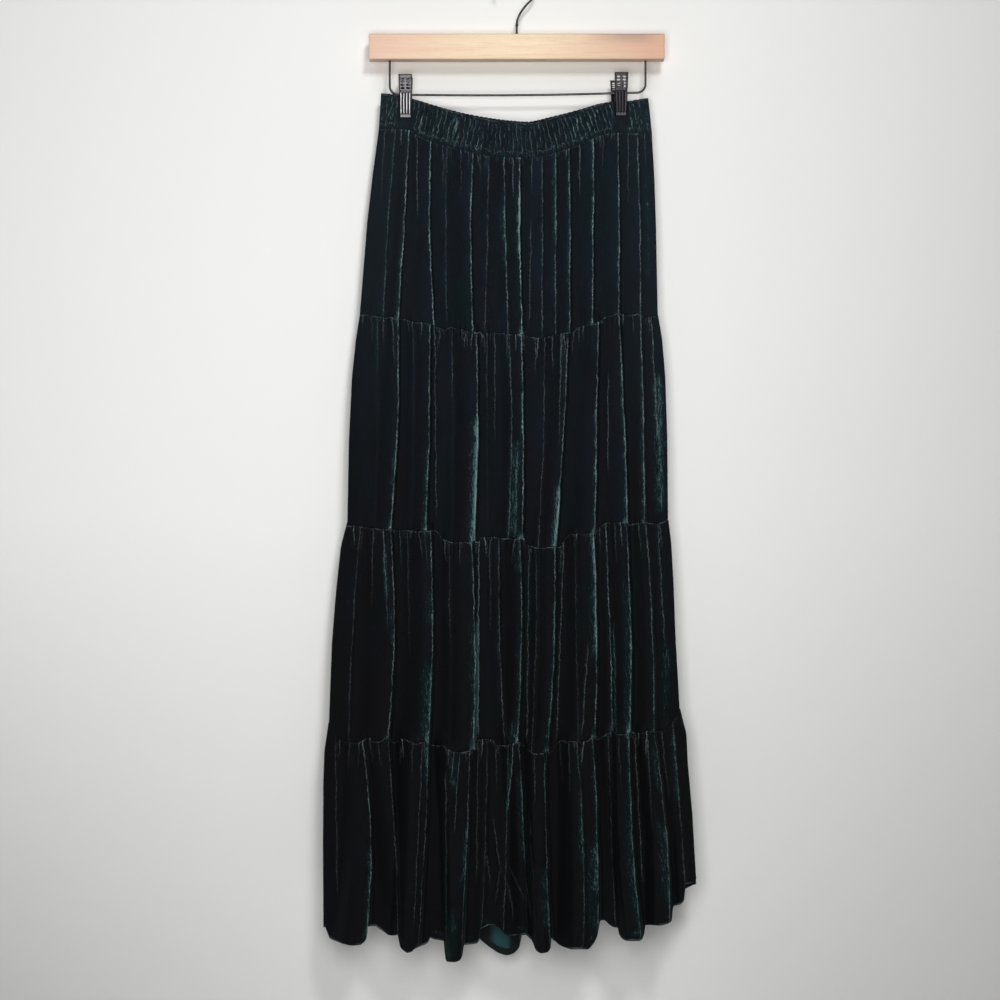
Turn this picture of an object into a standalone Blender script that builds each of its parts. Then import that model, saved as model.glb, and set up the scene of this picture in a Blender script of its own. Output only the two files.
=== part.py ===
"""Tiered maxi skirt of velvet, hanging by its waistband from a wooden clip hanger.

Sizes in the tables are in millimetres, and the meshes are made in metres.
+X is to the wearer's left as the front is looked at, +Y is back, +Z is up.
The origin is the inside top of the hanger's hook, where it hangs on a rail.

Every cloth panel is a wall of even thickness round a middle surface.  In plan,
the middle surface of a panel is a flattened half ring with folds on it.  A fold
swells forward from its left, rolls back a little towards its right edge, and
drops behind it at once.  The tables below give a row for each fold.
"""
import math
from collections import namedtuple

import bpy
import numpy as np

MM = 0.001

# ---------------------------------------------------------------- sizes, mm
CLOTH = 1.3            # velvet, one layer
BAND = 3.0             # waistband: velvet folded double over its elastic
SEAM_GAP = 0.5         # between a tier and the next, up and down
SIDE_GAP = 0.3         # between a front and a back, at the side seams
VIEW = 2150.0          # the widths were read off from this far in front,
VIEW_X = -20.0         # and from this far across
GATHERS = 52           # in each half of the waistband
LOOP = 3.4             # radius of the waistband's turn at each side seam
ROLL = 0.2             # share of its depth that a fold rolls back by its edge
ROLL_FROM = 0.6        # and the share of its width where that begins
PLAIN_FOLD = 6.0       # a fold no deeper than this needs few columns
SLACK = 11.0           # how far the slack waist bows open between the clips
PINCHED = 1.95         # half the way from front to back, where a clip bites

Fold = namedtuple("Fold", "key x_top x_mid x_foot deep_top deep_mid deep_foot left_top left_foot soft")
#  x      the line where the fold drops back, at the tier's top, middle, foot
#  deep   how far the fold stands forward there
#  left   how far to its left the fold begins
#  soft   share of that width it rises over: 1 is a slow swell, 0.4 a pipe

FRONT_FOLDS = {
    1: [
        ("a", -145, -154, -160,  1.5, 4, 5,  17, 24, 1),
        ("b", -129, -135, -142,  2, 6, 9,  13, 17, 1),
        ("c", -103, -104, -99,  2.5, 7, 10,  24, 38, 1),
        ("d", -83, -85, -83,  1, 1, 3,  10, 12, 1),
        ("e", -52, -55, -52,  2.5, 7, 10,  29, 31, 1),
        ("f", -33, -35, -38,  1.5, 2, 1,  10, 10, 1),
        ("g", -15, -13, -10,  2, 4, 1,  14, 17, 1),
        ("h", 4, 4, 7,  2.5, 7.5, 10,  16, 31, 1),
        ("i", 31, 31, 31,  2, 3, 0.5,  17, 17, 1),
        ("j", 47, 47, 47,  2.5, 4, 1,  14, 14, 1),
        ("k", 63, 64, 64,  2, 7, 9,  12, 24, 1),
        ("l", 92, 92, 91,  2.5, 6, 9,  24, 24, 1),
        ("m", 122, 123, 123,  2, 6, 8,  24, 26, 1),
        ("n", 145, 148, 149,  1.5, 5, 7,  17, 22, 1),
    ],
    2: [
        ("a", -167, -167, -171,  4, 1.5, 0.5,  14, 14, 1),
        ("b", -142, -143, -151,  9, 11, 14,  17, 41, 1),
        ("c", -124, -124, -127,  3, 1.5, 1,  10, 12, 1),
        ("d", -99, -105, -109,  10, 12, 14,  38, 36, 1),
        ("e", -77, -77, -77,  4, 1.5, 0.5,  12, 12, 1),
        ("f", -52, -48, -52,  10, 13, 17,  31, 46, 0.9),
        ("g", -35, -35, -34,  3.5, 1.5, 0.5,  8, 10, 1),
        ("h", -9, -8, -10,  4, 5, 6,  14, 17, 1),
        ("i", 7, 8, 7,  10, 12, 16,  31, 24, 1),
        ("j", 34, 32, 26,  4, 1.5, 1,  12, 12, 1),
        ("k", 64, 56, 47,  9, 12, 16,  24, 34, 1),
        ("l", 97, 95, 94,  9, 12, 15,  26, 38, 1),
        ("m", 123, 129, 133,  8, 11, 15,  24, 31, 1),
        ("n", 149, 152, 154,  7, 10, 13,  22, 20, 1),
    ],
    3: [
        ("a", -185, -197, -201,  3, 6, 6,  14, 19, 1),
        ("b", -151, -146, -154,  14, 17, 20,  41, 43, 0.9),
        ("c", -109, -101, -106,  14, 18, 22,  36, 41, 0.9),
        ("d", -81, -80, -81,  3.5, 2, 1,  12, 12, 1),
        ("e", -52, -50, -51,  17, 20, 24,  46, 48, 0.8),
        ("f", -21, -20, -18,  5, 7, 5,  14, 19, 1),
        ("g", 7, 4, 1,  16, 19, 23,  24, 26, 1),
        ("h", 24, 23, 18,  3, 3, 2,  10, 10, 1),
        ("i", 47, 47, 37,  16, 18, 22,  34, 31, 0.9),
        ("j", 70, 72, 74,  3, 2, 2,  12, 12, 1),
        ("k", 94, 96, 93,  15, 20, 22,  38, 48, 0.7),
        ("l", 111, 113, 113,  3, 7, 12,  10, 17, 1),
        ("m", 133, 136, 136,  15, 17, 21,  31, 26, 0.9),
        ("n", 154, 163, 165,  13, 16, 20,  20, 26, 0.9),
    ],
    4: [
        ("a", -185, -175, -179,  3, 18, 36,  26, 50, 0.45),
        ("b", -154, -146, -142,  20, 12, 4,  43, 19, 0.9),
        ("c", -106, -107, -106,  22, 28, 36,  41, 35, 0.5),
        ("e", -51, -59, -65,  24, 32, 44,  48, 20, 0.4),
        ("f", -32, -34, -39,  3, 5, 3,  10, 14, 1),
        ("g", -16, -12, -13,  5, 5, 4,  19, 14, 1),
        ("h", 1, 7, 11,  23, 22, 14,  26, 22, 0.8),
        ("i", 37, 35, 41,  22, 29, 38,  31, 24, 0.45),
        ("j", 70, 78, 78,  2, 4, 4,  12, 22, 1),
        ("k", 93, 97, 99,  22, 30, 38,  48, 55, 0.45),
        ("l", 113, 115, 116,  12, 6, 2,  17, 12, 1),
        ("m", 136, 140, 152,  21, 28, 38,  26, 30, 0.45),
        ("n", 165, 177, 185,  20, 26, 32,  26, 32, 0.5),
        ("o", 187, 195, 203,  4, 12, 22,  14, 14, 0.7),
    ],
}

# The back, as it is seen from behind: one row for each fold, which runs down
# all four tiers.  x at the waist, at the three seams and at the hem.
BackFold = namedtuple("BackFold", "key x_waist x_seam1 x_seam2 x_seam3 x_hem full")
BACK_FOLDS = [
    ("p", -134, -142, -147, -154, -166, 0.80),
    ("q", -97, -101, -104, -111, -122, 1.00),
    ("r", -61, -65, -64, -70, -77, 0.85),
    ("s", -23, -26, -32, -29, -32, 1.00),
    ("t", 7, 9, 4, -2, -8, 0.75),
    ("u", 38, 43, 47, 55, 69, 1.05),
    ("v", 70, 76, 83, 93, 105, 0.90),
    ("w", 105, 112, 119, 129, 143, 1.00),
    ("x", 134, 145, 154, 167, 182, 0.85),
    ("y", 150, 166, 177, 190, 210, 0.45),
]
BACK_DEEP = (2.5, 9, 15, 22, 36)       # at the waist, the seams and the hem

# Side outline: a row for each height, as a share of the tier's drop.
Outline = namedtuple("Outline", "share left right half_depth")
OUTLINE = {
    1: [
        (0, -165, 160, 13),
        (0.25, -172, 163.5, 13),
        (0.5, -178, 165.5, 14),
        (1, -188, 167.5, 15),
    ],
    2: [
        (0, -188, 168, 15),
        (0.12, -193, 173, 17),
        (0.3, -197.5, 177, 18),
        (0.6, -201, 179.5, 18.5),
        (1, -203, 181, 19),
    ],
    3: [
        (0, -203.5, 181.5, 19),
        (0.12, -210, 184.5, 21),
        (0.35, -216.5, 188, 21.5),
        (0.6, -221, 190.5, 22),
        (1, -224, 196, 22),
    ],
    4: [
        (0, -224.5, 196.5, 22),
        (0.14, -230, 203.5, 24),
        (0.3, -232, 205.5, 24),
        (0.6, -232.5, 211, 25),
        (1, -232, 215.5, 25),
    ],
}
# Heights of the mesh rows, as shares of the tier's drop.
ROWS = {
    1: (0, 0.12, 0.4, 0.7, 1),
    2: (0, 0.12, 0.4, 0.7, 1),
    3: (0, 0.12, 0.4, 0.7, 1),
    4: (0, 0.14, 0.42, 0.72, 1),
}
# How wide the drop behind a fold's edge is, at the tier's top and foot.
DROP_WIDTH = {1: (3.0, 3.5), 2: (3.5, 4.0), 3: (4.0, 4.5), 4: (4.5, 5.5)}

# Heights of the seams: level at the sides, rise to the right, sag between.
Seam = namedtuple("Seam", "side tilt sag power")
SEAMS = {
    "top_front": Seam(-155.0, -1.8, 32.5, 0),
    "top_back": Seam(-155.0, -1.8, 25.0, 0),
    "waist": Seam(-196.5, -1.5, 32.0, 0),
    1: Seam(-417.0, 0.0, 28.0, 0),
    2: Seam(-664.5, 1.5, 26.0, 0),
    3: Seam(-899.0, 10.0, 34.0, 6),
}
HEM_FRONT = [(-232, -1152), (-206, -1157), (-181, -1154), (-164, -1150), (-143, -1156), (-131, -1166),
             (-106, -1160), (-92, -1158), (-83, -1172), (-73, -1177), (-64, -1172), (-53, -1168),
             (-41, -1152), (-26, -1140), (-5, -1152), (16, -1156), (29, -1167), (47, -1160), (82, -1162),
             (100, -1148), (115, -1146), (136, -1152), (152, -1146), (160, -1136), (182, -1136),
             (188, -1122), (199, -1120), (205, -1104), (216, -1100)]
# As it is seen from behind.
HEM_BACK = [(-216, -1100), (-196, -1112), (-160, -1132), (-120, -1148), (-60, -1154), (-14, -1160),
            (2, -1182), (22, -1188), (40, -1180), (56, -1158), (100, -1150), (160, -1156), (232, -1152)]

Clip = namedtuple("Clip", "middle raised back_shift")
CLIPS = {
    "left": Clip(-133.3, 0.0, 0.0),
    "right": Clip(125.6, 2.3, -3.5),       # its back jaw sits a little inwards
}
WIRE_Z = -150.6        # level part of the wire that the clips slide on


# ---------------------------------------------------------------- helpers
def smooth(s):
    s = np.clip(s, 0.0, 1.0)
    return s * s * (3.0 - 2.0 * s)


def through(top, mid, foot, v):
    """The parabola through three values at the top, middle and foot."""
    return top * (1 - v) * (1 - 2 * v) + mid * 4 * v * (1 - v) + foot * v * (2 * v - 1)


def seam_height(key, xi):
    s = SEAMS[key]
    shape = 0.5 + 0.5 * np.cos(math.pi * xi) if s.power == 0 else 1 - np.abs(xi) ** s.power
    return s.side + s.tilt * xi - s.sag * shape


def outline(tier, v):
    rows = np.array(OUTLINE[tier], dtype=float)
    return [float(np.interp(v, rows[:, 0], rows[:, k])) for k in (1, 2, 3)]


def waist_half(x, xi, reach):
    """Half the way from front to back at the waist: pinched at the clips,
    open between them, with a small round loop at each side."""
    left, right = CLIPS["left"].middle, CLIPS["right"].middle
    t = np.clip((x - left) / (right - left), 0.0, 1.0)
    level = PINCHED + SLACK * np.sin(math.pi * t) ** 2
    inset = (1 - np.abs(xi)) * reach
    loop = LOOP * np.sqrt(1 - (1 - np.clip(inset / LOOP, 0.0, 1.0)) ** 2)
    levelling = 14.0        # the width over which the loop meets the rest
    return loop + (level - LOOP) * smooth((inset - LOOP) / levelling)


def clear_of_clips(x, width):
    """0 under a clip's jaws, rising to 1 over a width beside them."""
    half_jaw = 8.0
    near = np.minimum(np.abs(x - CLIPS["left"].middle), np.abs(x - CLIPS["right"].middle))
    return smooth((near - half_jaw) / width)


def fold_shape(t, wide, soft, drop):
    """A fold's profile from 0 to 1, at a distance t to the right of its edge."""
    share = (t + wide) / wide
    swell = smooth(share / soft)
    rolled = np.clip((share - ROLL_FROM) / (1 - ROLL_FROM), 0.0, 1.0)
    return swell * (1 - ROLL * rolled ** 2) * (1 - smooth(t / drop))


def fresh_scene():
    for ob in list(bpy.data.objects):
        bpy.data.objects.remove(ob, do_unlink=True)


def material(name, colour, roughness, metallic=0.0):
    mat = bpy.data.materials.new(name)
    mat.use_nodes = True
    bsdf = mat.node_tree.nodes["Principled BSDF"]
    bsdf.inputs["Base Color"].default_value = (*colour, 1.0)
    bsdf.inputs["Roughness"].default_value = roughness
    bsdf.inputs["Metallic"].default_value = metallic
    mat.diffuse_color = (*colour, 1.0)
    return mat


def add_mesh(name, verts, faces, mat, location=(0, 0, 0)):
    mesh = bpy.data.meshes.new(name)
    mesh.from_pydata([tuple(float(c) * MM for c in p) for p in verts], [], faces)
    mesh.materials.append(mat)
    mesh.update()
    ob = bpy.data.objects.new(name, mesh)
    ob.location = tuple(c * MM for c in location)
    bpy.context.scene.collection.objects.link(ob)
    return ob


def grid_faces(rows, cols, at, turn=False):
    """Triangles of a grid whose first vertex is number at."""
    faces = []
    for r in range(rows - 1):
        for c in range(cols - 1):
            a, b = at + r * cols + c, at + r * cols + c + 1
            d, e = a + cols, b + cols
            pair = [(a, b, e), (a, e, d)]
            faces += [f[::-1] for f in pair] if turn else pair
    return faces


def wall(name, outer, inner, mat):
    """A closed wall between two grids (rows from the top, columns from the
    left as seen from outside)."""
    rows, cols = outer.shape[:2]
    n = rows * cols
    verts = np.concatenate([outer.reshape(-1, 3), inner.reshape(-1, 3)])
    faces = grid_faces(rows, cols, 0, turn=True) + grid_faces(rows, cols, n)
    for c in range(cols - 1):
        t0, t1 = c, c + 1
        faces += [(t0, t1, n + t1), (t0, n + t1, n + t0)]
        b0, b1 = (rows - 1) * cols + c, (rows - 1) * cols + c + 1
        faces += [(b1, b0, n + b0), (b1, n + b0, n + b1)]
    for r in range(rows - 1):
        l0, l1 = r * cols, (r + 1) * cols
        faces += [(l1, l0, n + l0), (l1, n + l0, n + l1)]
        r0, r1 = r * cols + cols - 1, (r + 1) * cols + cols - 1
        faces += [(r0, r1, n + r1), (r0, n + r1, n + r0)]
    return add_mesh(name, verts, faces, mat)


def outward(x, y):
    """For one level of a front panel: the direction out of the cloth at each
    column, lengthened at a corner so that the wall keeps its thickness."""
    dx, dy = np.diff(x), np.diff(y)
    length = np.hypot(dx, dy)
    nx, ny = dy / length, -dx / length          # out of a front panel is -Y
    px, py = np.r_[nx[0], nx], np.r_[ny[0], ny]
    qx, qy = np.r_[nx, nx[-1]], np.r_[ny, ny[-1]]
    mx, my = px + qx, py + qy
    size = np.hypot(mx, my)
    mx, my = mx / size, my / size
    spread = np.minimum(1.0 / np.clip(mx * px + my * py, 0.3, 1.0), 1.45)
    mx, my = mx * spread, my * spread
    mx[0], my[0], mx[-1], my[-1] = -1.0, 0.0, 1.0, 0.0
    return mx, my


def thicken(x, y, z, out_by, in_by):
    """Both faces of a front panel's wall, from its middle surface."""
    outer, inner = np.zeros(x.shape + (3,)), np.zeros(x.shape + (3,))
    for r in range(x.shape[0]):
        mx, my = outward(x[r], y[r])
        outer[r] = np.stack([x[r] + mx * out_by[r], y[r] + my * out_by[r], z[r]], axis=1)
        inner[r] = np.stack([x[r] - mx * in_by[r], y[r] - my * in_by[r], z[r]], axis=1)
    return outer, inner


def turned_round(grid):
    """A panel made as a front and seen from behind is turned half a turn."""
    return grid * np.array([-1.0, -1.0, 1.0])


# ---------------------------------------------------------------- tiers
def folds_of(tier, side):
    if side == "front":
        return [Fold(*row) for row in FRONT_FOLDS[tier]]
    out = []
    for k, row in enumerate(BACK_FOLDS):
        b = BackFold(*row)
        xs = (b.x_waist, b.x_seam1, b.x_seam2, b.x_seam3, b.x_hem)
        top, foot = xs[tier - 1], xs[tier]
        wide_top, wide_foot = 22, 34
        if k > 0:
            before = BACK_FOLDS[k - 1]
            wide_top = 0.86 * (top - before[tier])
            wide_foot = 0.80 * (foot - before[tier + 1])
        if b.key == "u" and tier == 4:
            wide_foot = 26                  # leaves the hollow beside it open
        deep_top, deep_foot = BACK_DEEP[tier - 1] * b.full, BACK_DEEP[tier] * b.full
        soft = 0.6 if tier == 4 else 0.9
        out.append(Fold(b.key, top, (top + foot) / 2, foot, deep_top, (deep_top + deep_foot) / 2,
                        deep_foot, wide_top, wide_foot, soft))
    return out


def tier_middle(tier, side):
    """The middle surface of a tier's front or back, as a grid."""
    folds = folds_of(tier, side)
    turn = -1 if side == "back" else 1
    top_key = "waist" if tier == 1 else tier - 1
    hem = np.array(HEM_BACK if side == "back" else HEM_FRONT, dtype=float)
    grid = []
    for v in ROWS[tier]:
        left, right, half = outline(tier, v)
        if side == "back":
            left, right = -right, -left
        drop = DROP_WIDTH[tier][0] * (1 - v) + DROP_WIDTH[tier][1] * v
        x = columns(tier, folds, v, drop, left, right)
        mid, reach = (left + right) / 2, (right - left) / 2
        xi = np.clip((x - mid) / reach, -1.0, 1.0)
        lens = half * np.sqrt(np.clip(1 - np.abs(xi) ** 2.4, 0.0, 1.0))
        taper = 1 - np.abs(xi) ** 10
        if tier == 1:
            blend = smooth((v + 0.02) / 0.62) if v > 0 else 0.0
            lens = (1 - blend) * waist_half(turn * x, xi, reach) + blend * lens
            taper = taper * (clear_of_clips(turn * x, 16.0) if v == 0 else 1)
        stand = np.zeros_like(x)
        for f in folds:
            t = x - through(f.x_top, f.x_mid, f.x_foot, v)
            wide = f.left_top * (1 - v) + f.left_foot * v
            deep = through(f.deep_top, f.deep_mid, f.deep_foot, v)
            stand += deep * fold_shape(t, wide, f.soft, drop)
        y = -(lens + stand * taper)
        y[0] = y[-1] = -SIDE_GAP / 2
        z_top = seam_height(top_key, turn * xi) - SEAM_GAP / 2
        if tier < 4:
            z_foot = seam_height(tier, turn * xi) + SEAM_GAP / 2
        else:
            z_foot = np.interp(x, hem[:, 0], hem[:, 1])
        z = z_top + (z_foot - z_top) * v
        grid.append((as_seen(x, y, side), y, z))
    return [np.array([row[k] for row in grid]) for k in range(3)]


def as_seen(x, y, side):
    """The widths of a front were read off in perspective: what stands nearer
    is drawn in a little."""
    if side == "back":
        return x
    return VIEW_X + (x - VIEW_X) * (1 + y / VIEW)


def columns(tier, folds, v, drop, left, right):
    """The columns of one level, as many at every level of the tier."""
    narrowest = 4.5
    xs, start = [], left
    for k, f in enumerate(folds):
        edge = through(f.x_top, f.x_mid, f.x_foot, v)
        reach = f.left_top * (1 - v) + f.left_foot * v
        width = edge - start
        if width < narrowest:
            raise ValueError("tier %d: fold %s is too near the one before it" % (tier, f.key))
        if k == 0:
            shares = [0.0, 0.04, 0.16, 0.42, 0.72]
        else:
            a = min(max((width - reach) / width, 0.14), 0.5)
            b = min(max((width - reach * (1 - f.soft)) / width, a + 0.26), 0.84)
            shares = [0.0, a, b]
            if max(f.deep_top, f.deep_foot) > PLAIN_FOLD:
                shares = [0.0, a, (a + b) / 2, b, (b + 1) / 2]
        xs += [start + width * share for share in shares]
        xs.append(edge)
        start = edge + drop
    width = right - start
    if width < narrowest:
        raise ValueError("tier %d: the last fold is too near the side" % tier)
    xs += [start + width * share for share in (0.0, 0.3, 0.62, 0.87, 0.97, 1.0)]
    return np.array(xs)


def make_tier(tier, side, mat):
    x, y, z = tier_middle(tier, side)
    half = [CLOTH / 2] * len(x)
    outer, inner = thicken(x, y, z, half, half)
    if side == "back":
        outer, inner = turned_round(outer), turned_round(inner)
    return wall("tier_%d_%s" % (tier, side), outer, inner, mat)


# ---------------------------------------------------------------- waistband
def make_band(side, mat):
    """Shirred elastic: one fine ripple for each gather, which stand square to
    the dipping edge and flatten where a clip bites."""
    turn = -1 if side == "back" else 1
    half_band = 161.0
    plain_end = 6.0          # no ripples this near a side seam
    ends = np.array([0.0, 0.45, 1.7, LOOP]) / half_band
    even = np.linspace(-1, 1, 2 * GATHERS) * (1 - plain_end / half_band)
    uneven = even + 0.008 * np.sin(9 * even + 0.7) + 0.003 * np.sin(31 * even)
    xi0 = np.r_[-1 + ends, uneven, (1 - ends)[::-1]]
    flat = np.zeros(len(ends))
    swell = np.r_[flat, np.tile([1.0, -1.0], GATHERS), flat]
    tall = 0.85 * (0.75 + 0.25 * np.sin(17 * xi0 + 1.0))
    band_height = 36.0
    xs, ys, zs, outs, ins = [], [], [], [], []
    for v, much in ((0.0, 0.30), (0.5, 1.0), (1.0, 0.55)):
        left, right = -162.5 - 2.5 * v, 156.5 + 3.5 * v
        if side == "back":
            left, right = -right, -left
        mid, reach = (left + right) / 2, (right - left) / 2
        slope = SEAMS["waist"].sag * 0.5 * math.pi * np.sin(math.pi * xi0) / reach
        lean = 0.85 * band_height * slope * (1 - xi0 ** 8)
        x = mid + reach * xi0 + lean * (v - 0.5)
        xi = np.clip((x - mid) / reach, -1.0, 1.0)
        ripple = much * tall * swell * clear_of_clips(turn * x, 9.0)
        y = -waist_half(turn * x, xi, reach)
        y[0] = y[-1] = -SIDE_GAP / 2
        top = seam_height("top_" + side, turn * xi)
        foot = seam_height("waist", turn * xi) + SEAM_GAP / 2
        xs.append(as_seen(x, y, side))
        ys.append(y)
        zs.append(top + (foot - top) * v)
        outs.append(BAND / 2 + ripple)
        ins.append(BAND / 2 - 0.5 * ripple)
    outer, inner = thicken(np.array(xs), np.array(ys), np.array(zs), outs, ins)
    if side == "back":
        outer, inner = turned_round(outer), turned_round(inner)
    return wall("waistband_%s" % side, outer, inner, mat)


# ---------------------------------------------------------------- hanger
def tube(name, path, radius, mat, sides=8):
    """A round wire along a path in the plane y = 0, with flat ends."""
    path = np.array(path, dtype=float)
    along = np.gradient(path, axis=0)
    along /= np.linalg.norm(along, axis=1)[:, None]
    across = np.stack([-along[:, 1], along[:, 0]], axis=1)     # in x and z
    verts, faces, n = [], [], len(path)
    for k in range(n):
        for j in range(sides):
            turn = 2 * math.pi * (j + 0.5) / sides
            c, s = radius * math.cos(turn), radius * math.sin(turn)
            verts.append((path[k, 0] + across[k, 0] * c, s, path[k, 1] + across[k, 1] * c))
    for k in range(n - 1):
        for j in range(sides):
            i = (j + 1) % sides
            faces.append((k * sides + j, (k + 1) * sides + j, (k + 1) * sides + i, k * sides + i))
    faces.append(tuple(range(sides)))
    faces.append(tuple((n - 1) * sides + j for j in reversed(range(sides))))
    return add_mesh(name, verts, faces, mat)


def arc(cx, cz, radius, start, stop, count):
    turns = np.radians(np.linspace(start, stop, count))
    return [(cx + radius * math.cos(t), cz + radius * math.sin(t)) for t in turns]


WIRE = 1.75            # radius of the hook's and the bail's wire
CROOK = 24.0           # radius of the hook's crook, to the middle of the wire
BAR_TOP = -81.0
BAR_MIDDLE = -96.0


def make_hook(mat):
    """A stem, a bend out to the side, and a crook round the rail."""
    centre = -(CROOK - WIRE)
    start, stop = -48, 205         # degrees round the crook
    turn = math.radians(start)
    stem_end = np.array([0.3, -67.0])
    crook_start = np.array([CROOK * math.cos(turn), centre + CROOK * math.sin(turn)])
    pull = 9.0
    up = stem_end + np.array([0.4, pull])
    into = crook_start - pull * np.array([-math.sin(turn), math.cos(turn)])
    path = [(0.0, BAR_TOP + 0.2), (0.0, -74.0), tuple(stem_end)]
    for t in (0.25, 0.5, 0.75):
        r = 1 - t
        point = r ** 3 * stem_end + 3 * r * r * t * up + 3 * r * t * t * into + t ** 3 * crook_start
        path.append(tuple(point))
    path += arc(0.0, centre, CROOK, start, stop, 24)
    return tube("hanger_hook", path, WIRE, mat)


def make_bail(mat):
    """Two legs under the bar, and the level wire between them."""
    corner, straight = 10.0, 8.0
    left, right, top = -152.3, 154.6, -111.2
    path = [(left, top), (left, WIRE_Z + corner + straight)]
    path += arc(left + corner, WIRE_Z + corner, corner, 180, 270, 6)
    path += [(-60.0, WIRE_Z), (60.0, WIRE_Z)]
    path += arc(right - corner, WIRE_Z + corner, corner, 270, 360, 6)
    path += [(right, WIRE_Z + corner + straight), (right, top)]
    return tube("hanger_bail", path, WIRE, mat)


def make_bar(mat):
    """A wooden bar with rounded long edges and eased ends."""
    length, deep, tall, edge = 354.0, 14.0, 30.0, 3.0
    section = []
    for side_y, side_z, start in ((1, 1, 0), (-1, 1, 90), (-1, -1, 180), (1, -1, 270)):
        y, z = (deep / 2 - edge) * side_y, (tall / 2 - edge) * side_z
        for k in range(4):
            a = math.radians(start + 30 * k)
            section.append((y, z, math.cos(a), math.sin(a)))
    verts, faces, m = [], [], len(section)
    # From each end: how far in, and how far the section is drawn in there.
    eased = ((0.0, 1.2), (0.8, 0.45), (2.4, 0.0))
    stations = [(-length / 2 + along, drawn) for along, drawn in eased]
    stations += [(length / 2 - along, drawn) for along, drawn in reversed(eased)]
    for x, drawn in stations:
        for y, z, c, s in section:
            verts.append((x, y + c * edge - math.copysign(drawn, y), z + s * edge - math.copysign(drawn, z)))
    for k in range(len(stations) - 1):
        for j in range(m):
            i = (j + 1) % m
            faces.append((k * m + j, k * m + i, (k + 1) * m + i, (k + 1) * m + j))
    faces.append(tuple(reversed(range(m))))
    faces.append(tuple((len(stations) - 1) * m + j for j in range(m)))
    return add_mesh("hanger_bar", verts, faces, mat, location=(0, 0, BAR_MIDDLE))


# Jaw seen from the side: a row for each bend, from the grip to the lip.
Bend = namedtuple("Bend", "forward height width")
JAW = [
    (9.6, 24.0, 13.6),
    (9.2, 15.0, 14.6),
    (7.4, 7.5, 15.6),
    (5.4, 1.5, 16.8),
    (5.2, -6.0, 16.8),
    (5.9, -16.0, 16.8),
    (5.9, -24.0, 16.8),
    (4.9, -28.6, 16.0),
    (4.35, -29.6, 15.6),
]
JAW_WALL = 1.1
# Across the jaw, as shares of half its width: where, and how far turned in.
JAW_ACROSS = ((-1.0, 1.0), (-0.86, 0.15), (-0.35, 0.0), (0.35, 0.0), (0.86, 0.15), (1.0, 1.0))


def make_jaw(clip, side, mat):
    """One half of a clip: a pressed strip with its long edges turned in."""
    bends = [Bend(*row) for row in JAW]
    mid = np.array([(b.forward, b.height) for b in bends])
    run = np.gradient(mid, axis=0)
    run /= np.linalg.norm(run, axis=1)[:, None]
    out = np.stack([-run[:, 1], run[:, 0]], axis=1)        # away from the cloth
    shape = (len(bends), len(JAW_ACROSS), 3)
    outer, inner = np.zeros(shape), np.zeros(shape)
    for r, b in enumerate(bends):
        turned_in = 0.42 if r in (0, len(bends) - 1) else 0.7
        for c, (share, low) in enumerate(JAW_ACROSS):
            x = share * b.width / 2
            y, z = mid[r] + out[r] * (JAW_WALL / 2 - turned_in * low)
            outer[r, c] = (x, -y, z)
            y, z = mid[r] - out[r] * (JAW_WALL / 2 + min(turned_in * low, 0.1))
            inner[r, c] = (0.97 * x, -y, z)
    x = CLIPS[clip].middle
    if side == "back":
        outer, inner = turned_round(outer), turned_round(inner)
        x += CLIPS[clip].back_shift
    ob = wall("clip_%s_%s" % (clip, side), outer, inner, mat)
    ob.location = (x * MM, 0, (WIRE_Z + CLIPS[clip].raised) * MM)
    return ob


def main():
    fresh_scene()
    velvet = material("velvet", (0.010, 0.020, 0.021), 0.85)
    wood = material("wood", (0.86, 0.70, 0.47), 0.45)
    wire = material("wire", (0.16, 0.155, 0.16), 0.35, 1.0)
    jaw = material("clip_metal", (0.11, 0.105, 0.12), 0.38, 1.0)
    for side in ("front", "back"):
        make_band(side, velvet)
        for tier in (1, 2, 3, 4):
            make_tier(tier, side, velvet)
    make_bar(wood)
    make_hook(wire)
    make_bail(wire)
    for clip in CLIPS:
        for side in ("front", "back"):
            make_jaw(clip, side, jaw)


main()
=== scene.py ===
"""Looks of a tiered velvet maxi skirt hanging from a wooden clip hanger.

Sizes in the tables are in millimetres, and the meshes are made in metres.
+X is to the right as the front is looked at, +Y is back, +Z is up, and the
origin is the inside top of the hook.

The cloth is worked out as the solids are: in plan, a panel is a flattened half
ring with folds on it, and a fold swells forward from its left, rolls back a
little towards its right edge and drops behind it at once.  Here each panel also
has its short gathers under the seams, its fine creases and the pull of the
seams, and its colour carries painted sheen and painted highlights, pale along
the edges of the folds where velvet shines as it turns away.
"""
import math
from collections import namedtuple

import bmesh
import bpy
import numpy as np
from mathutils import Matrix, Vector


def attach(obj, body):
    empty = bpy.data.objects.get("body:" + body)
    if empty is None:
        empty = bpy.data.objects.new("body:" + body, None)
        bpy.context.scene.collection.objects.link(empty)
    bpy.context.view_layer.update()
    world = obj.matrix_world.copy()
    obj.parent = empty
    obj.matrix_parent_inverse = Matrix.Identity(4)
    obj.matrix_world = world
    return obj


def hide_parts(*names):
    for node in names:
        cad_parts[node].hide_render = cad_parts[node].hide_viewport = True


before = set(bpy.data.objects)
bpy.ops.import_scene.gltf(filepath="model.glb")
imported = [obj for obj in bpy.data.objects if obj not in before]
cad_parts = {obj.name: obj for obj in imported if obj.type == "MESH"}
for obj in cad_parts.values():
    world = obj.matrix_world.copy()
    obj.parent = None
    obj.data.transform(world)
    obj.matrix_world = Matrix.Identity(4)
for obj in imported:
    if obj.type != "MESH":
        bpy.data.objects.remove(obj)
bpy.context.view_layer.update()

MM = 0.001

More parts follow.
